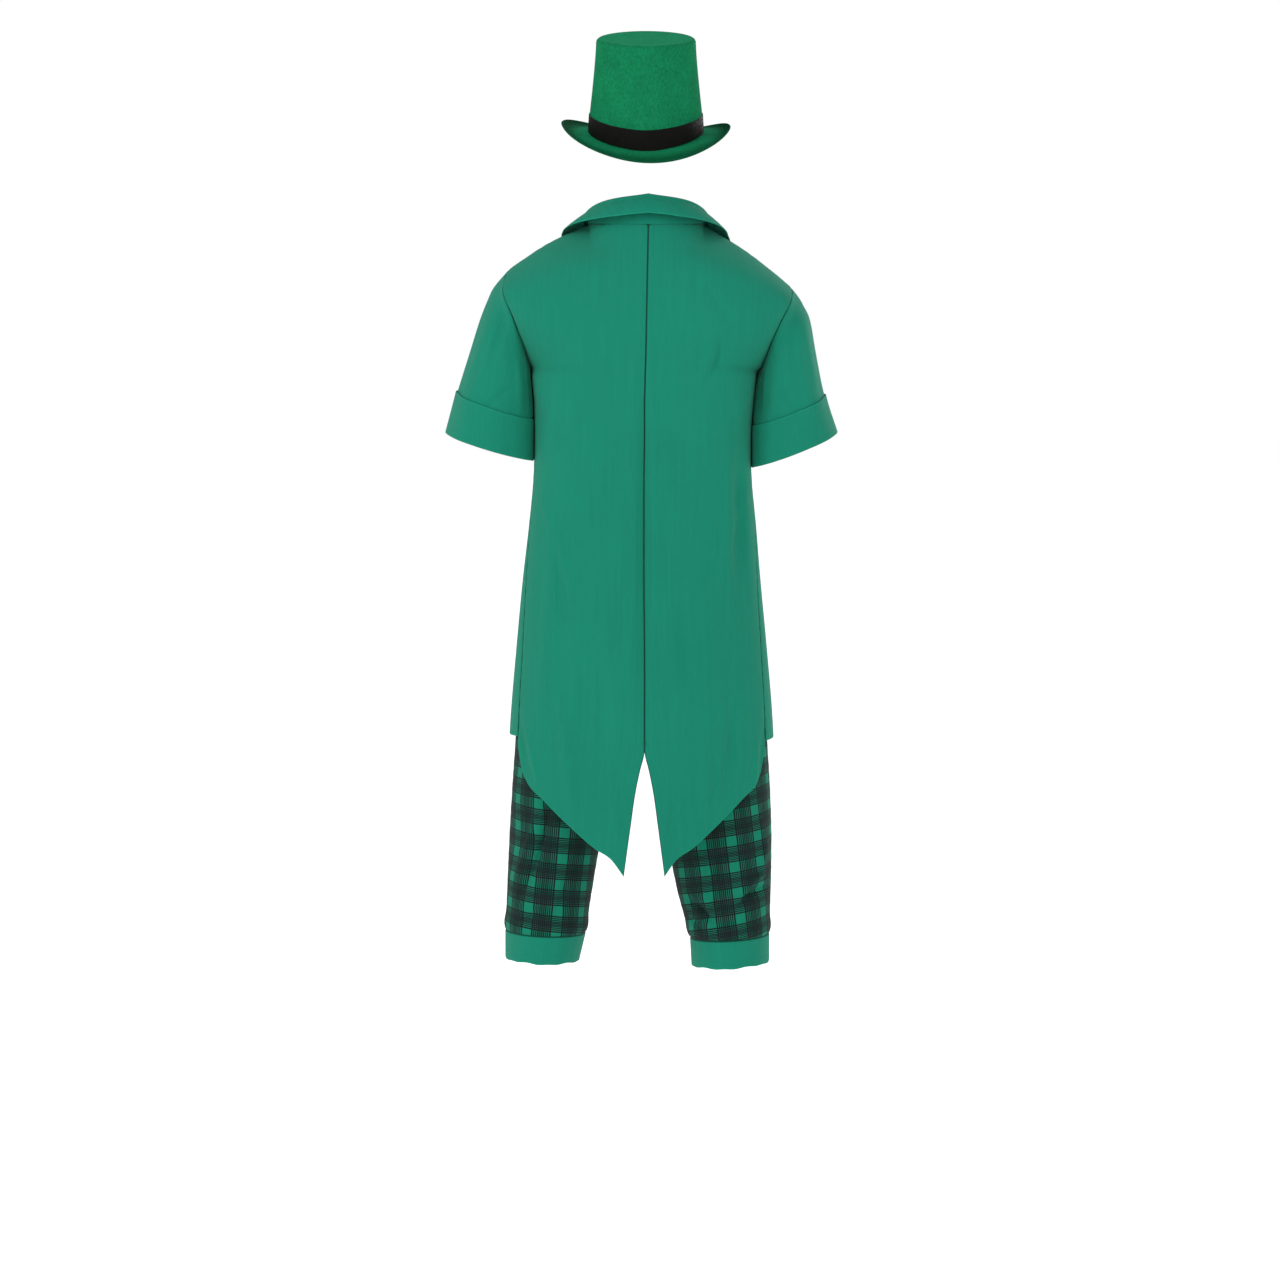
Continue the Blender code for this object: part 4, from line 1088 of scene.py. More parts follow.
class Graph:
    """Adds nodes to the tree of a new material and links them."""

    def __init__(self, name):
        self.material = bpy.data.materials.new(name)
        self.material.use_nodes = True
        self.nodes = self.material.node_tree.nodes
        self.links = self.material.node_tree.links
        self.shader = self.nodes["Principled BSDF"]

    def node(self, kind, inputs=(), **settings):
        """A node with some of its settings and inputs, each a value or a socket."""
        made = self.nodes.new(kind)
        for key, value in settings.items():
            setattr(made, key, value)
        for key, value in dict(inputs).items():
            self.feed(made.inputs[key], value)
        return made

    def feed(self, socket, value):
        """Links a socket to another one, or sets its value."""
        if isinstance(value, bpy.types.NodeSocket):
            self.links.new(value, socket)
        else:
            socket.default_value = value

    def math(self, operation, first, second=0.0, third=0.0):
        """The result of a Math node."""
        made = self.node("ShaderNodeMath", {0: first, 1: second, 2: third}, operation=operation)
        return made.outputs[0]

    def mix(self, factor, first, second, blend="MIX"):
        """The colour of a Mix node."""
        made = self.node("ShaderNodeMix", {0: factor}, data_type="RGBA", blend_type=blend,
                         clamp_factor=True)
        self.feed(made.inputs[6], first)
        self.feed(made.inputs[7], second)
        return made.outputs[2]

    def add(self, start, parts):
        """A value with shares of other values added to it."""
        for value, share in parts:
            start = self.math("MULTIPLY_ADD", value, share, start)
        return start

    def tones(self, factor, colour, dark, light):
        """A colour between a darker and a lighter tone of itself."""
        return self.mix(factor, shade(colour, dark), shade(colour, light))

    def tint(self, colour, share):
        """A colour made darker or lighter by a value."""
        grey = self.node("ShaderNodeCombineColor", {0: share, 1: share, 2: share}).outputs[0]
        return self.mix(1.0, colour, grey, "MULTIPLY")

    def fade(self, value, low, high, first, last, way="SMOOTHSTEP"):
        """A result that goes from the first to the last as a value goes from low to high."""
        ends = {0: value, 1: low, 2: high, 3: first, 4: last}
        return self.node("ShaderNodeMapRange", ends, interpolation_type=way).outputs[0]

    def place(self):
        """The place on the object, in metres."""
        return self.node("ShaderNodeTexCoord").outputs["Object"]

    def noise(self, vector, scale, detail=2.0, roughness=0.5, stretch=(1, 1, 1)):
        """Noise with features of 1/scale metres, stretched along the axes."""
        mapping = self.node("ShaderNodeMapping", {"Vector": vector, "Scale": stretch})
        sockets = {"Vector": mapping.outputs[0], "Scale": scale, "Detail": detail}
        made = self.node("ShaderNodeTexNoise", sockets)
        made.inputs["Roughness"].default_value = roughness
        return made.outputs["Fac"]

    def ramp(self, factor, stops, interpolation="LINEAR"):
        """A value from a ramp with stops of place and value."""
        made = self.node("ShaderNodeValToRGB", {"Fac": factor})
        band = made.color_ramp
        band.interpolation = interpolation
        band.elements.remove(band.elements[1])
        for number, (place, value) in enumerate(stops):
            element = band.elements.new(place) if number else band.elements[0]
            element.position = place
            element.color = (value, value, value, 1.0)
        return made.outputs["Color"]

    def bump(self, height, distance, strength, under=None):
        """A Bump node, over another one if it is given."""
        sockets = {"Height": height, "Distance": distance, "Strength": strength}
        if under is not None:
            sockets["Normal"] = under
        return self.node("ShaderNodeBump", sockets).outputs["Normal"]

    def finish(self, colour, roughness, normal, sheen, sheen_roughness, specular):
        """Sets the shader and gives the material."""
        self.feed(self.shader.inputs["Base Color"], colour)
        self.feed(self.shader.inputs["Roughness"], roughness)
        self.feed(self.shader.inputs["Normal"], normal)
        self.shader.inputs["Sheen Weight"].default_value = sheen
        self.shader.inputs["Sheen Roughness"].default_value = sheen_roughness
        self.shader.inputs["Specular IOR Level"].default_value = specular
        return self.material


def shade(colour, share):
    """A colour made darker or lighter."""
    return (*[part * share for part in colour[:3]], 1.0)


def cut_places(graph):
    """The places across and along a cloth, in metres, and the vector of both."""
    source = graph.node("ShaderNodeUVMap", uv_map="cut").outputs[0]
    parts = graph.node("ShaderNodeSeparateXYZ", {0: source})
    return parts.outputs[0], parts.outputs[1], source


def weave_height(graph, across, along, pitch):
    """The height of a plain weave with threads of a pitch."""
    warp = graph.math("SINE", graph.math("MULTIPLY", across, 2 * math.pi / pitch))
    weft = graph.math("SINE", graph.math("MULTIPLY", along, 2 * math.pi / pitch))
    return graph.math("MULTIPLY", warp, weft)


def hem_height(graph, width):
    """The low step where the cloth is turned under at a hem."""
    away = graph.node("ShaderNodeAttribute", attribute_name="hem").outputs["Fac"]
    return graph.fade(away, width - 0.0012, width + 0.0012, 1.0, 0.0)


def near_edge(graph, kind, width, share):
    """A share that holds at a seam or a hem, and turns to 1 away from it."""
    away = graph.node("ShaderNodeAttribute", attribute_name=kind).outputs["Fac"]
    return graph.fade(away, 0.2 * width, width, share, 1.0)


def painted_seam_shade_and_hem_highlight(graph, colour):
    """A colour with painted shade down in the line of a seam and a painted highlight along a hem's
    edge.
    """
    # painted shade in the seam line, multiplied by a painted highlight on the hem's edge
    seam = near_edge(graph, "seam", 0.0021, 0.28)
    return graph.tint(colour, graph.math("MULTIPLY", seam, near_edge(graph, "hem", 0.0024, 1.22)))


def cloth_bumps(graph, across, along, vector, pitch, hem):
    """The weave, the soft unevenness and the hem of a woven cloth."""
    rumple = graph.noise(vector, 26.0, 3.0, 0.45, (1.0, 0.55, 1.0))
    slack = graph.bump(rumple, 0.0011, 0.40)
    turned = graph.bump(hem_height(graph, hem), 0.0005, 0.55, slack)
    slub = graph.noise(vector, 900.0, 2.0, 0.6, (1.0, 0.12, 1.0))
    fine = graph.math("ADD", weave_height(graph, across, along, pitch), slub)
    return graph.bump(fine, 0.00016, 0.45, turned)


def coat_material(settings):
    """Matte plain-woven cloth with faint streaks along the thread, painted shade in its seams and a
    painted highlight on its hems.
    """
    graph = Graph("coat cloth")
    across, along, vector = cut_places(graph)
    streaks = graph.noise(vector, 210.0, 3.0, 0.62, (1.0, 0.035, 1.0))
    slubs = graph.noise(vector, 620.0, 2.0, 0.6, (1.0, 0.06, 1.0))
    broad = graph.noise(graph.place(), 7.0, 2.0, 0.5)
    weft = graph.noise(vector, 480.0, 1.0, 0.5, (0.05, 1.0, 1.0))
    tone = graph.add(0.11, ((streaks, 0.42), (slubs, 0.20), (weft, 0.14), (broad, 0.22)))
    # the streaked colour gets painted shade in its seams and a painted highlight on its hems
    colour = painted_seam_shade_and_hem_highlight(graph, graph.tones(tone, settings.cloth_colour, 0.70, 1.30))
    normal = cloth_bumps(graph, across, along, vector, settings.weave, settings.hem)
    return graph.finish(colour, 0.90, normal, 0.04, 0.55, 0.14)


def stripes(graph, place, repeat, sett):
    """The darkness of the stripes of a sett at a place."""
    turns = graph.math("MULTIPLY", place, 1 / repeat)
    centred = graph.math("SUBTRACT", graph.math("FRACT", turns), 0.5)
    away = graph.math("MULTIPLY", graph.math("ABSOLUTE", centred), 2.0)
    half = repeat * 500
    return graph.ramp(away, [(mm / half, dark) for mm, dark in sett], "CONSTANT")


def check_material(settings):
    """Woven cloth with a black line check on green."""
    graph = Graph("check cloth")
    across, along, vector = cut_places(graph)
    up_down = stripes(graph, across, settings.across, SETT_ACROSS)
    level = stripes(graph, along, settings.down, SETT_DOWN)
    left = graph.math("SUBTRACT", 1.0, up_down)
    left = graph.math("MULTIPLY", left, graph.math("SUBTRACT", 1.0, level))
    streaks = graph.noise(vector, 340.0, 3.0, 0.62, (1.0, 0.06, 1.0))
    weft = graph.noise(vector, 340.0, 2.0, 0.6, (0.06, 1.0, 1.0))
    tone = graph.add(0.0, ((weft, 0.5), (streaks, 0.5)))
    ground = graph.tones(tone, settings.ground_colour, 0.72, 1.28)
    colour = graph.mix(left, tuple(settings.line_colour), ground)
    normal = cloth_bumps(graph, across, along, vector, settings.weave, 0.0)
    return graph.finish(colour, 0.88, normal, 0.03, 0.5, 0.12)


def felt_material(settings):
    """Pressed felt: mottled green with short fibres lying every way, with painted shade towards its
    edge and painted light on its flat top.
    """
    graph = Graph("pressed felt")
    place = graph.place()
    mottle = graph.noise(place, 380.0, 2.0, 0.6, (1.0, 1.0, 0.6))
    fibre = graph.noise(place, 1100.0, 3.0, 0.7)
    broad = graph.noise(place, 30.0, 2.0, 0.5)
    patches = graph.math("SUBTRACT", broad, 0.5)
    tone = graph.add(-0.20, ((mottle, 1.1), (fibre, 0.30), (patches, 0.50)))
    colour = graph.tones(tone, settings.felt_colour, 0.55, 1.45)
    # painted shade: the felt is darker near its edges, most of all at the brim's outer edge
    colour = graph.tint(colour, near_edge(graph, "hem", 0.034, 0.44))
    # painted light: faces that point up, as the flat top does, are made paler
    normal = graph.node("ShaderNodeNewGeometry").outputs["Normal"]
    upward = graph.node("ShaderNodeSeparateXYZ", {0: normal}).outputs[2]
    flat = graph.fade(upward, 0.88, 0.965, 0.0, 1.0, "LINEAR")
    colour = graph.mix(flat, colour, graph.mix(1.0, colour, FLAT_TOP_PAINTED_LIGHT, "MULTIPLY"))
    nap = graph.bump(mottle, 0.0007, 0.40)
    fuzz = graph.bump(fibre, 0.0005, 0.55, nap)
    return graph.finish(colour, 0.97, fuzz, 0.0, 0.6, 0.02)


def ribbon_material(settings):
    """Black ribbon with fine ribs across it."""
    graph = Graph("band ribbon")
    across, _, vector = cut_places(graph)
    ribs = graph.math("SINE", graph.math("MULTIPLY", across, 2 * math.pi / 0.0011))
    worn = graph.noise(vector, 60.0, 3.0, 0.6, (1.0, 2.5, 1.0))
    colour = graph.tones(worn, settings.ribbon_colour, 0.6, 1.6)
    slack = graph.bump(worn, 0.0006, 0.4)
    normal = graph.bump(ribs, 0.00018, 0.6, slack)
    roughness = graph.math("MULTIPLY_ADD", worn, 0.16, 0.52)
    return graph.finish(colour, roughness, normal, 0.0, 0.4, 0.06)


def button_material(settings):
    """Dark green moulded plastic with a soft gloss."""
    graph = Graph("button plastic")
    place = graph.place()
    cloud = graph.noise(place, 160.0, 3.0, 0.6)
    fine = graph.noise(place, 2400.0, 2.0, 0.5)
    colour = graph.tones(cloud, settings.button_colour, 0.75, 1.3)
    roughness = graph.math("MULTIPLY_ADD", cloud, 0.14, 0.26)
    return graph.finish(colour, roughness, graph.bump(fine, 0.00004, 0.4), 0.0, 0.3, 0.5)


def thread_material(settings):
    """Twisted sewing thread, a shade darker than the coat."""
    graph = Graph("thread")
    twist = graph.noise(graph.place(), 1500.0, 2.0, 0.5)
    colour = graph.tones(twist, settings.cloth_colour, 0.30, 0.75)
    return graph.finish(colour, 0.7, graph.bump(twist, 0.0001, 0.5), 0.1, 0.5, 0.3)


def material(name, make, settings):
    """A material by name, made the first time that it is asked for."""
    return bpy.data.materials.get(name) or make(settings)


class CoatSettings(bpy.types.PropertyGroup):
    """Sizes and colours of the tailcoat."""

    cloth_colour: bpy.props.FloatVectorProperty(
        name="Cloth", description="Colour of the coat's cloth", subtype="COLOR", size=4,
        min=0.0, max=1.0, default=(0.0049, 0.196, 0.1235, 1.0))
    button_colour: bpy.props.FloatVectorProperty(
        name="Buttons", description="Colour of the buttons", subtype="COLOR", size=4,
        min=0.0, max=1.0, default=(0.006, 0.060, 0.035, 1.0))
    thickness: bpy.props.FloatProperty(
        name="Thickness", description="Thickness of the cloth at its hems", unit="LENGTH",
        default=CLOTH, min=0.001, max=0.003)
    weave: bpy.props.FloatProperty(
        name="Weave", description="Distance between two threads", unit="LENGTH",
        default=0.0009, min=0.0003, max=0.003)
    hem: bpy.props.FloatProperty(
        name="Hem", description="How far the cloth is turned under", unit="LENGTH",
        default=0.012, min=0.004, max=0.03)
    crease: bpy.props.FloatProperty(
        name="Creases", description="Depth of the creases, as a share of the depth shown",
        subtype="FACTOR", default=1.5, min=0.0, max=3.0)
    pucker: bpy.props.FloatProperty(
        name="Pucker", description="Height of the small waves beside a seam", unit="LENGTH",
        default=0.00035, min=0.0, max=0.001)


class BreechesSettings(bpy.types.PropertyGroup):
    """Sizes and colours of the knee breeches."""

    ground_colour: bpy.props.FloatVectorProperty(
        name="Ground", description="Green of the check", subtype="COLOR", size=4,
        min=0.0, max=1.0, default=(0.0049, 0.196, 0.1165, 1.0))
    line_colour: bpy.props.FloatVectorProperty(
        name="Lines", description="Near-black of the check's lines", subtype="COLOR", size=4,
        min=0.0, max=1.0, default=(0.0062, 0.0105, 0.0118, 1.0))
    across: bpy.props.FloatProperty(
        name="Repeat across", description="Width of one repeat of the check", unit="LENGTH",
        default=0.0475, min=0.02, max=0.1)
    down: bpy.props.FloatProperty(
        name="Repeat down", description="Height of one repeat of the check", unit="LENGTH",
        default=0.0412, min=0.02, max=0.1)
    weave: bpy.props.FloatProperty(
        name="Weave", description="Distance between two threads", unit="LENGTH",
        default=0.0009, min=0.0003, max=0.003)
    crease: bpy.props.FloatProperty(
        name="Creases", description="Depth of the creases, as a share of the depth shown",
        subtype="FACTOR", default=2.1, min=0.0, max=3.0)


class HatSettings(bpy.types.PropertyGroup):
    """Sizes and colours of the top hat."""

    felt_colour: bpy.props.FloatVectorProperty(
        name="Felt", description="Colour of the felt", subtype="COLOR", size=4,
        min=0.0, max=1.0, default=(0.0062, 0.170, 0.068, 1.0))
    ribbon_colour: bpy.props.FloatVectorProperty(
        name="Ribbon", description="Colour of the band", subtype="COLOR", size=4,
        min=0.0, max=1.0, default=(0.0044, 0.0042, 0.0038, 1.0))
    felt: bpy.props.FloatProperty(
        name="Felt thickness", description="Thickness of the felt", unit="LENGTH",
        default=FELT, min=0.001, max=0.003)


class StageSettings(bpy.types.PropertyGroup):
    """The floor, the light and the camera."""

    floor_height: bpy.props.FloatProperty(
        name="Floor", description="Height of the floor, where a wearer stands", unit="LENGTH",
        default=-1.586, min=-3.0, max=0.0)
    floor_colour: bpy.props.FloatVectorProperty(
        name="Floor colour", description="Colour of the floor", subtype="COLOR", size=4,
        min=0.0, max=1.0, default=(0.90, 0.90, 0.90, 1.0))
    sky: bpy.props.FloatProperty(
        name="Surround", description="Brightness of the pale surround", default=1.0,
        min=0.0, max=3.0)
    overhead: bpy.props.FloatProperty(
        name="Overhead", description="Brightness of the surround overhead", default=0.70,
        min=0.0, max=3.0)
    key: bpy.props.FloatProperty(
        name="Key light", description="Power of the large soft light", unit="POWER",
        default=56.0, min=0.0, max=1000.0)
    fill: bpy.props.FloatProperty(
        name="Fill light", description="Power of the soft light on the other side", unit="POWER",
        default=14.0, min=0.0, max=1000.0)
    distance: bpy.props.FloatProperty(
        name="Camera distance", description="From the camera to the coat's back", unit="LENGTH",
        default=5.5, min=1.0, max=20.0)
    view_width: bpy.props.FloatProperty(
        name="View width", description="Width of the view at the coat's back", unit="LENGTH",
        default=1.984, min=0.5, max=5.0)


def coat_piece(node, grid, sign, edges, held, rests_on=(), tube=False, **looks):
    """A piece of the coat's cloth, as a wall with its finish, in place of the model's part."""
    coat = bpy.context.scene.costume_coat
    piece = cloth(f"{node}_cloth", grid, sign, edges, coat.thickness, tube=tube, **looks)
    finish = material("coat cloth", coat_material, coat)
    declare(piece, node, finish, grid, tube)


class COSTUME_OT_backs(bpy.types.Operator):
    """Make both halves of the coat's back, with their tails"""

    bl_idname = "costume.backs"
    bl_label = "Coat backs"

    def execute(self, context):
        coat = context.scene.costume_coat
        edges = ("hem", "seam", slit_edge, "seam")
        for side, word in SIDES:
            coat_piece(f"coat_back_{word}", back_grid(side), side, edges, "hung",
                       creases=(CREASES_BACK, NO_CREASES), depth=coat.crease, pucker=coat.pucker)
        return {"FINISHED"}


class COSTUME_OT_fronts(bpy.types.Operator):
    """Make both fronts of the coat"""

    bl_idname = "costume.fronts"
    bl_label = "Coat fronts"

    def execute(self, context):
        coat = context.scene.costume_coat
        edges = ("hem", "tuck", "hem", "seam")
        for side, word in SIDES:
            coat_piece(f"coat_front_{word}", front_grid(side), -side, edges, "hung",
                       creases=(NO_CREASES, CREASES_FRONT), depth=coat.crease, pucker=coat.pucker)
        return {"FINISHED"}


class COSTUME_OT_lapels(bpy.types.Operator):
    """Make the lapels, laid on the fronts"""

    bl_idname = "costume.lapels"
    bl_label = "Lapels"

    def execute(self, context):
        coat = context.scene.costume_coat
        edges = ("hem", "hem", "hem", "hem")
        for side, word in SIDES:
            coat_piece(f"lapel_{word}", lapel_grid(side), -side, edges, "laid",
                       rests_on=[f"coat_front_{word}_cloth"], lift=CLOTH + LAY,
                       creases=(NO_CREASES, CREASES_FRONT), depth=coat.crease)
        return {"FINISHED"}


class COSTUME_OT_collar(bpy.types.Operator):
    """Make the turned-down collar"""

    bl_idname = "costume.collar"
    bl_label = "Collar"

    def execute(self, context):
        coat = context.scene.costume_coat
        coat_piece("collar", collar_grid(), -1, ("seam", "hem", "hem", "hem"), "folded",
                   creases=(COLLAR_CREASES, NO_CREASES), depth=coat.crease)
        return {"FINISHED"}


class COSTUME_OT_sleeves(bpy.types.Operator):
    """Make the short sleeves"""

    bl_idname = "costume.sleeves"
    bl_label = "Sleeves"

    def execute(self, context):
        coat = context.scene.costume_coat
        edges = ("tuck", "hem", None, None)
        for side, word in SIDES:
            coat_piece(f"sleeve_{word}", sleeve_grid(side), -side, edges, "hung", tube=True,
                       creases=SLEEVE_CREASES, depth=coat.crease, pucker=coat.pucker)
        return {"FINISHED"}


def cuff_grid(side):
    """The points of a turned-up cuff: down over the sleeve, and round its hem at the fold."""
    rings = sleeve_rings(side, np.linspace(CUFF_TOP, 4, CUFF_ROWS))
    normal = normals(rings, True, -side)
    down = rings[-1] - rings[-2]
    down = down / length(down)
    lift = CLOTH + SEAM
    flare = np.linspace(1, 0, CUFF_ROWS)[:, None, None] ** 3 * CUFF_FLARE
    rows = list(rings + normal * (lift + flare))
    for turn in np.linspace(0, math.pi, FOLD_STEPS)[1:]:
        aside = lift * (0.5 + 0.5 * math.cos(turn))
        below = lift * math.sin(turn) + CUFF_HANG
        rows.append(rings[-1] + normal[-1] * aside + down * below)
    return np.stack(rows)


class COSTUME_OT_cuffs(bpy.types.Operator):
    """Make the turned-up cuffs, each folded round the sleeve's hem"""

    bl_idname = "costume.cuffs"
    bl_label = "Cuffs"

    def execute(self, context):
        coat = context.scene.costume_coat
        edges = ("hem", "hem", None, None)
        for side, word in SIDES:
            coat_piece(f"sleeve_cuff_{word}", cuff_grid(side), -side, edges, "folded",
                       rests_on=[f"sleeve_{word}_cloth"], tube=True, creases=SLEEVE_CREASES,
                       depth=coat.crease)
        return {"FINISHED"}


class COSTUME_OT_buttons(bpy.types.Operator):
    """Make the buttons on the left front"""

    bl_idname = "costume.buttons"
    bl_label = "Buttons"

    def execute(self, context):
        coat = context.scene.costume_coat
        finish = material("button plastic", button_material, coat)
        for number in range(1, len(BUTTON_HEIGHTS) + 1):
            low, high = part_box(f"button_{number}")
            piece = make_button(f"button_{number}_plastic", (low + high) / 2)
            piece.data.materials.append(finish)
            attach(piece, "root")
            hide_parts(f"button_{number}")
        return {"FINISHED"}


def make_button(name, centre):
    """A round button with a rounded rim and a dished middle, facing the front."""
    bpy.ops.object.select_all(action="DESELECT")
    bpy.ops.mesh.primitive_cylinder_add(
        vertices=64, radius=BUTTON_RADIUS, depth=BUTTON_THICK, location=centre,
        rotation=(math.radians(90), 0, 0))
    piece = bpy.context.object
    piece.name = name
    bpy.ops.object.mode_set(mode="EDIT")
    shell = bmesh.from_edit_mesh(piece.data)
    bpy.ops.mesh.select_all(action="DESELECT")
    bpy.ops.mesh.select_mode(type="FACE")
    for face in shell.faces:
        face.select_set(face.normal.z > 0.9)
    bmesh.update_edit_mesh(piece.data)
    for width, depth in BUTTON_INSETS:
        bpy.ops.mesh.inset(thickness=width, depth=depth)
    bpy.ops.object.mode_set(mode="OBJECT")
    rim = piece.modifiers.new("rim", "BEVEL")
    rim.width = BUTTON_RIM
    rim.segments = 4
    rim.limit_method = "ANGLE"
    bpy.ops.object.modifier_apply(modifier="rim")
    bpy.ops.object.transform_apply(location=True, rotation=True, scale=True)
    bpy.ops.object.shade_smooth_by_angle(angle=math.radians(40))
    return piece


class COSTUME_OT_tack(bpy.types.Operator):
    """Make the stitches that hold the top of the slit together"""

    bl_idname = "costume.tack"
    bl_label = "Slit tack"

    def execute(self, context):
        coat = context.scene.costume_coat
        level = (HIP - TACK_DROP - UNDERARM) / LEVEL
        middle = body(1, "back", 0.0, level)
        middle[1] += CLOTH / 2 + 0.0003
        stitches = []
        for row, (slope, rise) in enumerate(STITCHES):
            bpy.ops.object.select_all(action="DESELECT")
            bpy.ops.mesh.primitive_cylinder_add(
                vertices=12, radius=STITCH_RADIUS, depth=STITCH_LENGTH - STITCH_SHORTER * row,
                location=(middle[0], middle[1], middle[2] + rise),
                rotation=(0, math.radians(90 + slope), 0))
            bpy.ops.object.transform_apply(location=True, rotation=True, scale=True)
            stitches.append(bpy.context.object)
        for stitch in stitches:
            stitch.select_set(True)
        bpy.ops.object.join()
        piece = bpy.context.object
        piece.name = "slit_tack"
        bow = (np.array([v.co.x for v in piece.data.vertices]) - middle[0]) / 0.003
        for vert, aside in zip(piece.data.vertices, bow):
            vert.co.y -= STITCH_BOW * aside**2
        ends = piece.modifiers.new("ends", "BEVEL")
        ends.width = STITCH_END
        ends.segments = 3
        bpy.ops.object.modifier_apply(modifier="ends")
        bpy.ops.object.shade_smooth_by_angle(angle=math.radians(50))
        piece.data.materials.append(material("thread", thread_material, coat))
        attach(piece, "root")
        return {"FINISHED"}


def leg_cut(side):
    """Gives the place of each point on the check cloth, which leans with the leg."""
    lean = math.radians(CHECK_LEAN[side])

    def uv(grid):
        middle = grid.shape[1] // 2
        across = run_of(grid, 1)
        across = across - across[:, middle:middle + 1]
        x = across * side + grid[:, middle:middle + 1, 0]
        z = grid[:, middle:middle + 1, 2] + 0 * x
        start_across, start_along = CHECK_START[side]
        turned = side * lean
        return np.stack([
            x * math.cos(turned) + z * math.sin(turned) + start_across,
            z * math.cos(turned) - x * math.sin(turned) + start_along,
        ], -1)

    return uv


def blouse(grid):
    """How far a leg swells out over its knee band."""
    above = run_of(grid, 0)
    return BLOUSE * bump(above, BLOUSE_HEIGHT, 0.022) * np.clip(above / 0.006, 0, 1)


class COSTUME_OT_breeches(bpy.types.Operator):
    """Make the four leg panels of the knee breeches"""

    bl_idname = "costume.breeches"
    bl_label = "Leg panels"

    def execute(self, context):
        breeches = context.scene.costume_breeches
        finish = material("check cloth", check_material, breeches)
        creases = (LEG_CREASES_BACK, LEG_CREASES_FRONT)
        edges = ("seam", "seam", "seam", "seam")
        for side, word in SIDES:
            for part, sign in (("back", side), ("front", -side)):
                node = f"breeches_{part}_{word}"
                grid = leg_grid(side, part)
                piece = cloth(f"{node}_cloth", grid, sign, edges, uv=leg_cut(side), creases=creases,
                              depth=breeches.crease, pucker=LEG_PUCKER, extra=blouse(grid))
                declare(piece, node, finish, grid)
        return {"FINISHED"}


def knee_ring(side, ring, low):
    """A ring of a knee band: low is 0 at the seam and 1 at the free edge."""
    outer = np.abs(ring[:, 0]).max()
    across = (outer - np.abs(ring[:, 0])) * (1 - KNEE_TAPER[side] * low)
    turn = np.arange(len(ring)) / len(ring) * 2 * np.pi
    down = KNEE_BAND * low + SEAM * (1 - low) + waves(turn, KNEE_WAVES) * low
    return np.stack([side * (outer - across), ring[:, 1], ring[:, 2] - down], -1)


def waist_grid():
    """The waistband, straight up from the top of the legs all round."""
    left, right = ([leg_grid(side, part)[-1] for part in ("back", "front")] for side in (1, -1))
    ring = np.concatenate([left[0], left[1][-2::-1], right[1], right[0][-2::-1]])
    heights = np.linspace(SEAM, WAIST_BAND, WAIST_ROWS)
    return np.stack([ring + np.array([0, 0, up]) for up in heights])


class COSTUME_OT_bands(bpy.types.Operator):
    """Make the knee bands and the waistband"""

    bl_idname = "costume.bands"
    bl_label = "Bands"

    def execute(self, context):
        for side, word in SIDES:
            ring = leg_ring(side, 0)
            grid = np.stack([knee_ring(side, ring, low) for low in np.linspace(1, 0, KNEE_ROWS)])
            edges = ("hem", "tuck", None, None)
            coat_piece(f"knee_band_{word}", grid, side, edges, "stretched", tube=True)
        coat_piece("waistband", waist_grid(), 1, ("hem", "hem", None, None), "stretched", tube=True)
        return {"FINISHED"}


HAT_FINISHES = {"felt": ("pressed felt", felt_material), "ribbon": ("band ribbon", ribbon_material)}


def hat_piece(node, stuff, grid, sign, edges, thick, rests_on=(), **looks):
    """A piece of the hat, of felt or of ribbon, as a wall with its finish."""
    piece = cloth(f"{node}_{stuff}", grid, sign, edges, thick, tube=True, **looks)
    finish = material(*HAT_FINISHES[stuff], bpy.context.scene.costume_hat)
    declare(piece, node, finish, grid, tube=True)


class COSTUME_OT_crown(bpy.types.Operator):
    """Make the crown of the hat"""

    bl_idname = "costume.crown"
    bl_label = "Crown"

    def execute(self, context):
        thick = context.scene.costume_hat.felt
        edges = ("hem", None, None, None)
        hat_piece("hat_crown", "felt", crown_grid(), 1, edges, thick, capped=True)
        return {"FINISHED"}


class COSTUME_OT_brim(bpy.types.Operator):
    """Make the curled brim of the hat"""

    bl_idname = "costume.brim"
    bl_label = "Brim"

    def execute(self, context):
        thick = context.scene.costume_hat.felt
        hat_piece("hat_brim", "felt", brim_grid(), -1, ("seam", "hem", None, None), thick)
        return {"FINISHED"}


def ribbon_grid():
    """The ribbon round the foot of the crown, hanging a little lower at the back."""
    rows = np.stack(crown_rows(np.linspace(BAND_BASE, BAND_TOP, RIBBON_ROWS)))
    turn = np.linspace(-np.pi, np.pi, HAT_COLUMNS, endpoint=False)
    middle = np.roll(bump(turn, 0, BAND_DIP_TURN), HAT_COLUMNS // 2)
    rows[..., 2] -= middle * np.linspace(BAND_DIP, 0.3 * BAND_DIP, RIBBON_ROWS)[:, None]
    return hat_place(rows)


class COSTUME_OT_ribbon(bpy.types.Operator):
    """Make the ribbon round the crown"""

    bl_idname = "costume.ribbon"
    bl_label = "Hat band"

    def execute(self, context):
        edges = ("hem", "hem", None, None)
        lift = FELT / 2 + SEAM + RIBBON / 2
        hat_piece("hat_band", "ribbon", ribbon_grid(), 1, edges, RIBBON,
                  rests_on=["hat_crown_felt"], lift=lift)
        return {"FINISHED"}


class COSTUME_OT_stage(bpy.types.Operator):
    """Make the floor, the light and the camera"""

    bl_idname = "costume.stage"
    bl_label = "Stage"

    def execute(self, context):
        stage = context.scene.costume_stage
        make_floor(stage)
        for name, place, size, power in LIGHTS:
            make_light(name, place, size, getattr(stage, power))
        make_surround(stage)
        context.scene.view_settings.view_transform = "Standard"
        make_camera(stage)
        return {"FINISHED"}


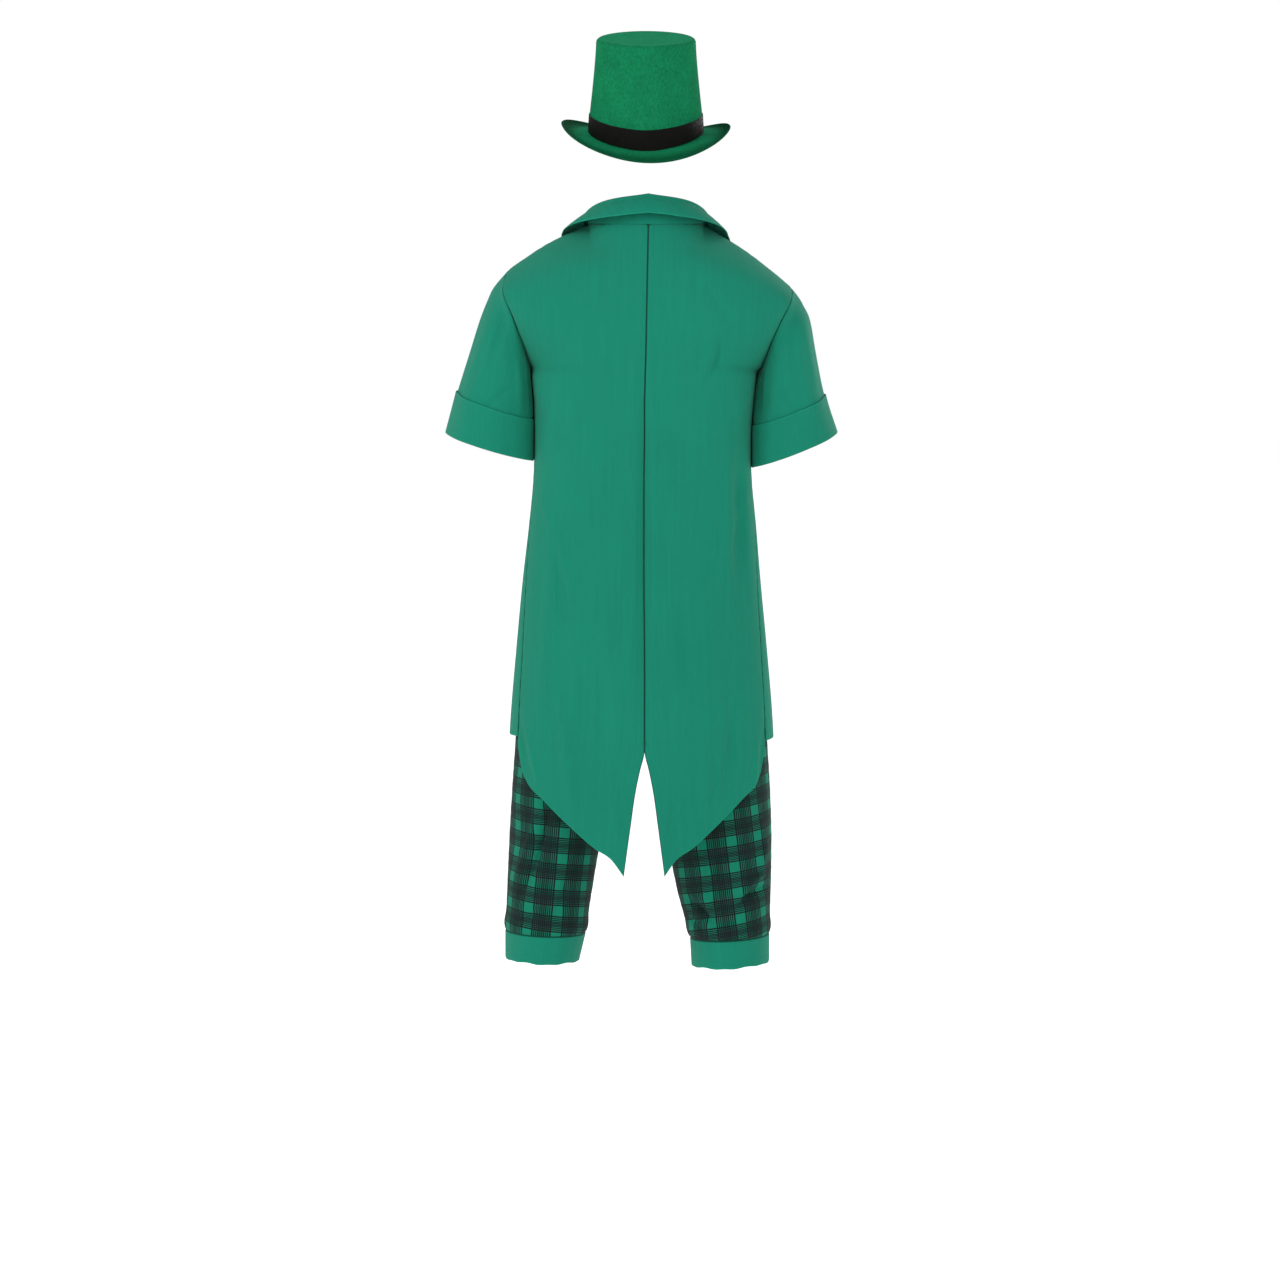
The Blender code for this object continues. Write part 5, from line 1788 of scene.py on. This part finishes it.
def make_surround(stage):
    """A pale surround, brightest all round at eye height and softer overhead."""
    surround = bpy.data.worlds.new("surround")
    surround.use_nodes = True
    nodes, links = surround.node_tree.nodes, surround.node_tree.links
    way = nodes.new("ShaderNodeTexCoord")
    parts = nodes.new("ShaderNodeSeparateXYZ")
    fall = nodes.new("ShaderNodeMapRange")
    fall.interpolation_type = "SMOOTHSTEP"
    for number, value in ((1, 0.12), (2, 0.34), (3, stage.sky), (4, stage.overhead)):
        fall.inputs[number].default_value = value
    sky = nodes["Background"]
    sky.inputs["Color"].default_value = (1.0, 1.0, 1.0, 1.0)
    links.new(way.outputs["Generated"], parts.inputs[0])
    links.new(parts.outputs[2], fall.inputs[0])
    links.new(fall.outputs[0], sky.inputs["Strength"])
    bpy.context.scene.world = surround


def make_floor(stage):
    """A large pale floor under the costume with a painted glow, which grows away from its middle
    until the floor fades into the surround.
    """
    bpy.ops.object.select_all(action="DESELECT")
    bpy.ops.mesh.primitive_circle_add(
        vertices=96, radius=90.0, fill_type="NGON", location=(0, 0, stage.floor_height))
    floor = bpy.context.object
    floor.name = "floor"
    bpy.ops.object.transform_apply(location=True, rotation=True, scale=True)
    graph = Graph("floor")
    place = graph.place()
    cloud = graph.noise(place, 1.5, 2.0, 0.5)
    colour = graph.tones(cloud, stage.floor_colour, 0.985, 1.015)
    grain = graph.bump(graph.noise(place, 300.0, 2.0, 0.5), 0.0001, 0.2)
    finish = graph.finish(colour, 0.8, grain, 0.0, 0.5, 0.2)
    away = graph.node("ShaderNodeVectorMath", {0: place}, operation="LENGTH").outputs["Value"]
    glow = graph.fade(away, FLOOR_NEAR, FLOOR_FAR, 0.20, 0.5 * stage.sky)
    graph.shader.inputs["Emission Color"].default_value = (1.0, 1.0, 1.0, 1.0)
    graph.feed(graph.shader.inputs["Emission Strength"], glow)
    floor.data.materials.append(finish)


def make_light(name, place, size, power):
    """A large square light that faces the middle of the costume."""
    light = bpy.data.lights.new(name, "AREA")
    light.shape = "SQUARE"
    light.size = size
    light.energy = power
    lamp = bpy.data.objects.new(name, light)
    lamp.location = place
    way = np.array(LIT_MIDDLE) - np.array(place)
    lamp.rotation_euler = Vector(way).to_track_quat("-Z", "Y").to_euler()
    bpy.context.scene.collection.objects.link(lamp)


def make_camera(stage):
    """The camera, behind the costume and straight on, as in the photograph."""
    camera = bpy.data.cameras.new("camera")
    camera.sensor_width = 36.0
    down = math.atan((CAMERA_HEIGHT - VIEW_HEIGHT) / stage.distance)
    camera.lens = camera.sensor_width * stage.distance / math.cos(down) / stage.view_width
    holder = bpy.data.objects.new("camera", camera)
    holder.location = (VIEW_MIDDLE, stage.distance, CAMERA_HEIGHT)
    holder.rotation_euler = (math.radians(90) - down, 0, math.radians(180))
    bpy.context.scene.collection.objects.link(holder)
    bpy.context.scene.camera = holder


class COSTUME_PT_panel(bpy.types.Panel):
    """The costume's tools in the 3D view's sidebar"""

    bl_idname = "COSTUME_PT_panel"
    bl_label = "Costume"
    bl_space_type = "VIEW_3D"
    bl_region_type = "UI"
    bl_category = "Costume"

    def draw(self, context):
        layout = self.layout
        for group, operators in GROUPS:
            box = layout.box()
            settings = getattr(context.scene, group)
            for name in settings.__annotations__:
                box.prop(settings, name)
            for operator in operators:
                box.operator(operator.bl_idname)


SETTINGS = {
    "costume_coat": CoatSettings,
    "costume_breeches": BreechesSettings,
    "costume_hat": HatSettings,
    "costume_stage": StageSettings,
}
GROUPS = (
    ("costume_stage", (COSTUME_OT_stage,)),
    ("costume_coat", (
        COSTUME_OT_backs, COSTUME_OT_fronts, COSTUME_OT_lapels, COSTUME_OT_collar,
        COSTUME_OT_sleeves, COSTUME_OT_cuffs, COSTUME_OT_buttons, COSTUME_OT_tack)),
    ("costume_breeches", (COSTUME_OT_breeches, COSTUME_OT_bands)),
    ("costume_hat", (COSTUME_OT_crown, COSTUME_OT_brim, COSTUME_OT_ribbon)),
)
OPERATORS = [operator for _, group in GROUPS for operator in group]


def register():
    for group in (*SETTINGS.values(), *OPERATORS, COSTUME_PT_panel):
        bpy.utils.register_class(group)
    for name, group in SETTINGS.items():
        setattr(bpy.types.Scene, name, bpy.props.PointerProperty(type=group))


def unregister():
    for name in SETTINGS:
        delattr(bpy.types.Scene, name)
    for group in (COSTUME_PT_panel, *OPERATORS[::-1], *list(SETTINGS.values())[::-1]):
        bpy.utils.unregister_class(group)


def main():
    bpy.ops.object.select_all(action="DESELECT")
    register()
    for operator in OPERATORS:
        group, name = operator.bl_idname.split(".")
        getattr(getattr(bpy.ops, group), name)()


if __name__ == "__main__":
    main()
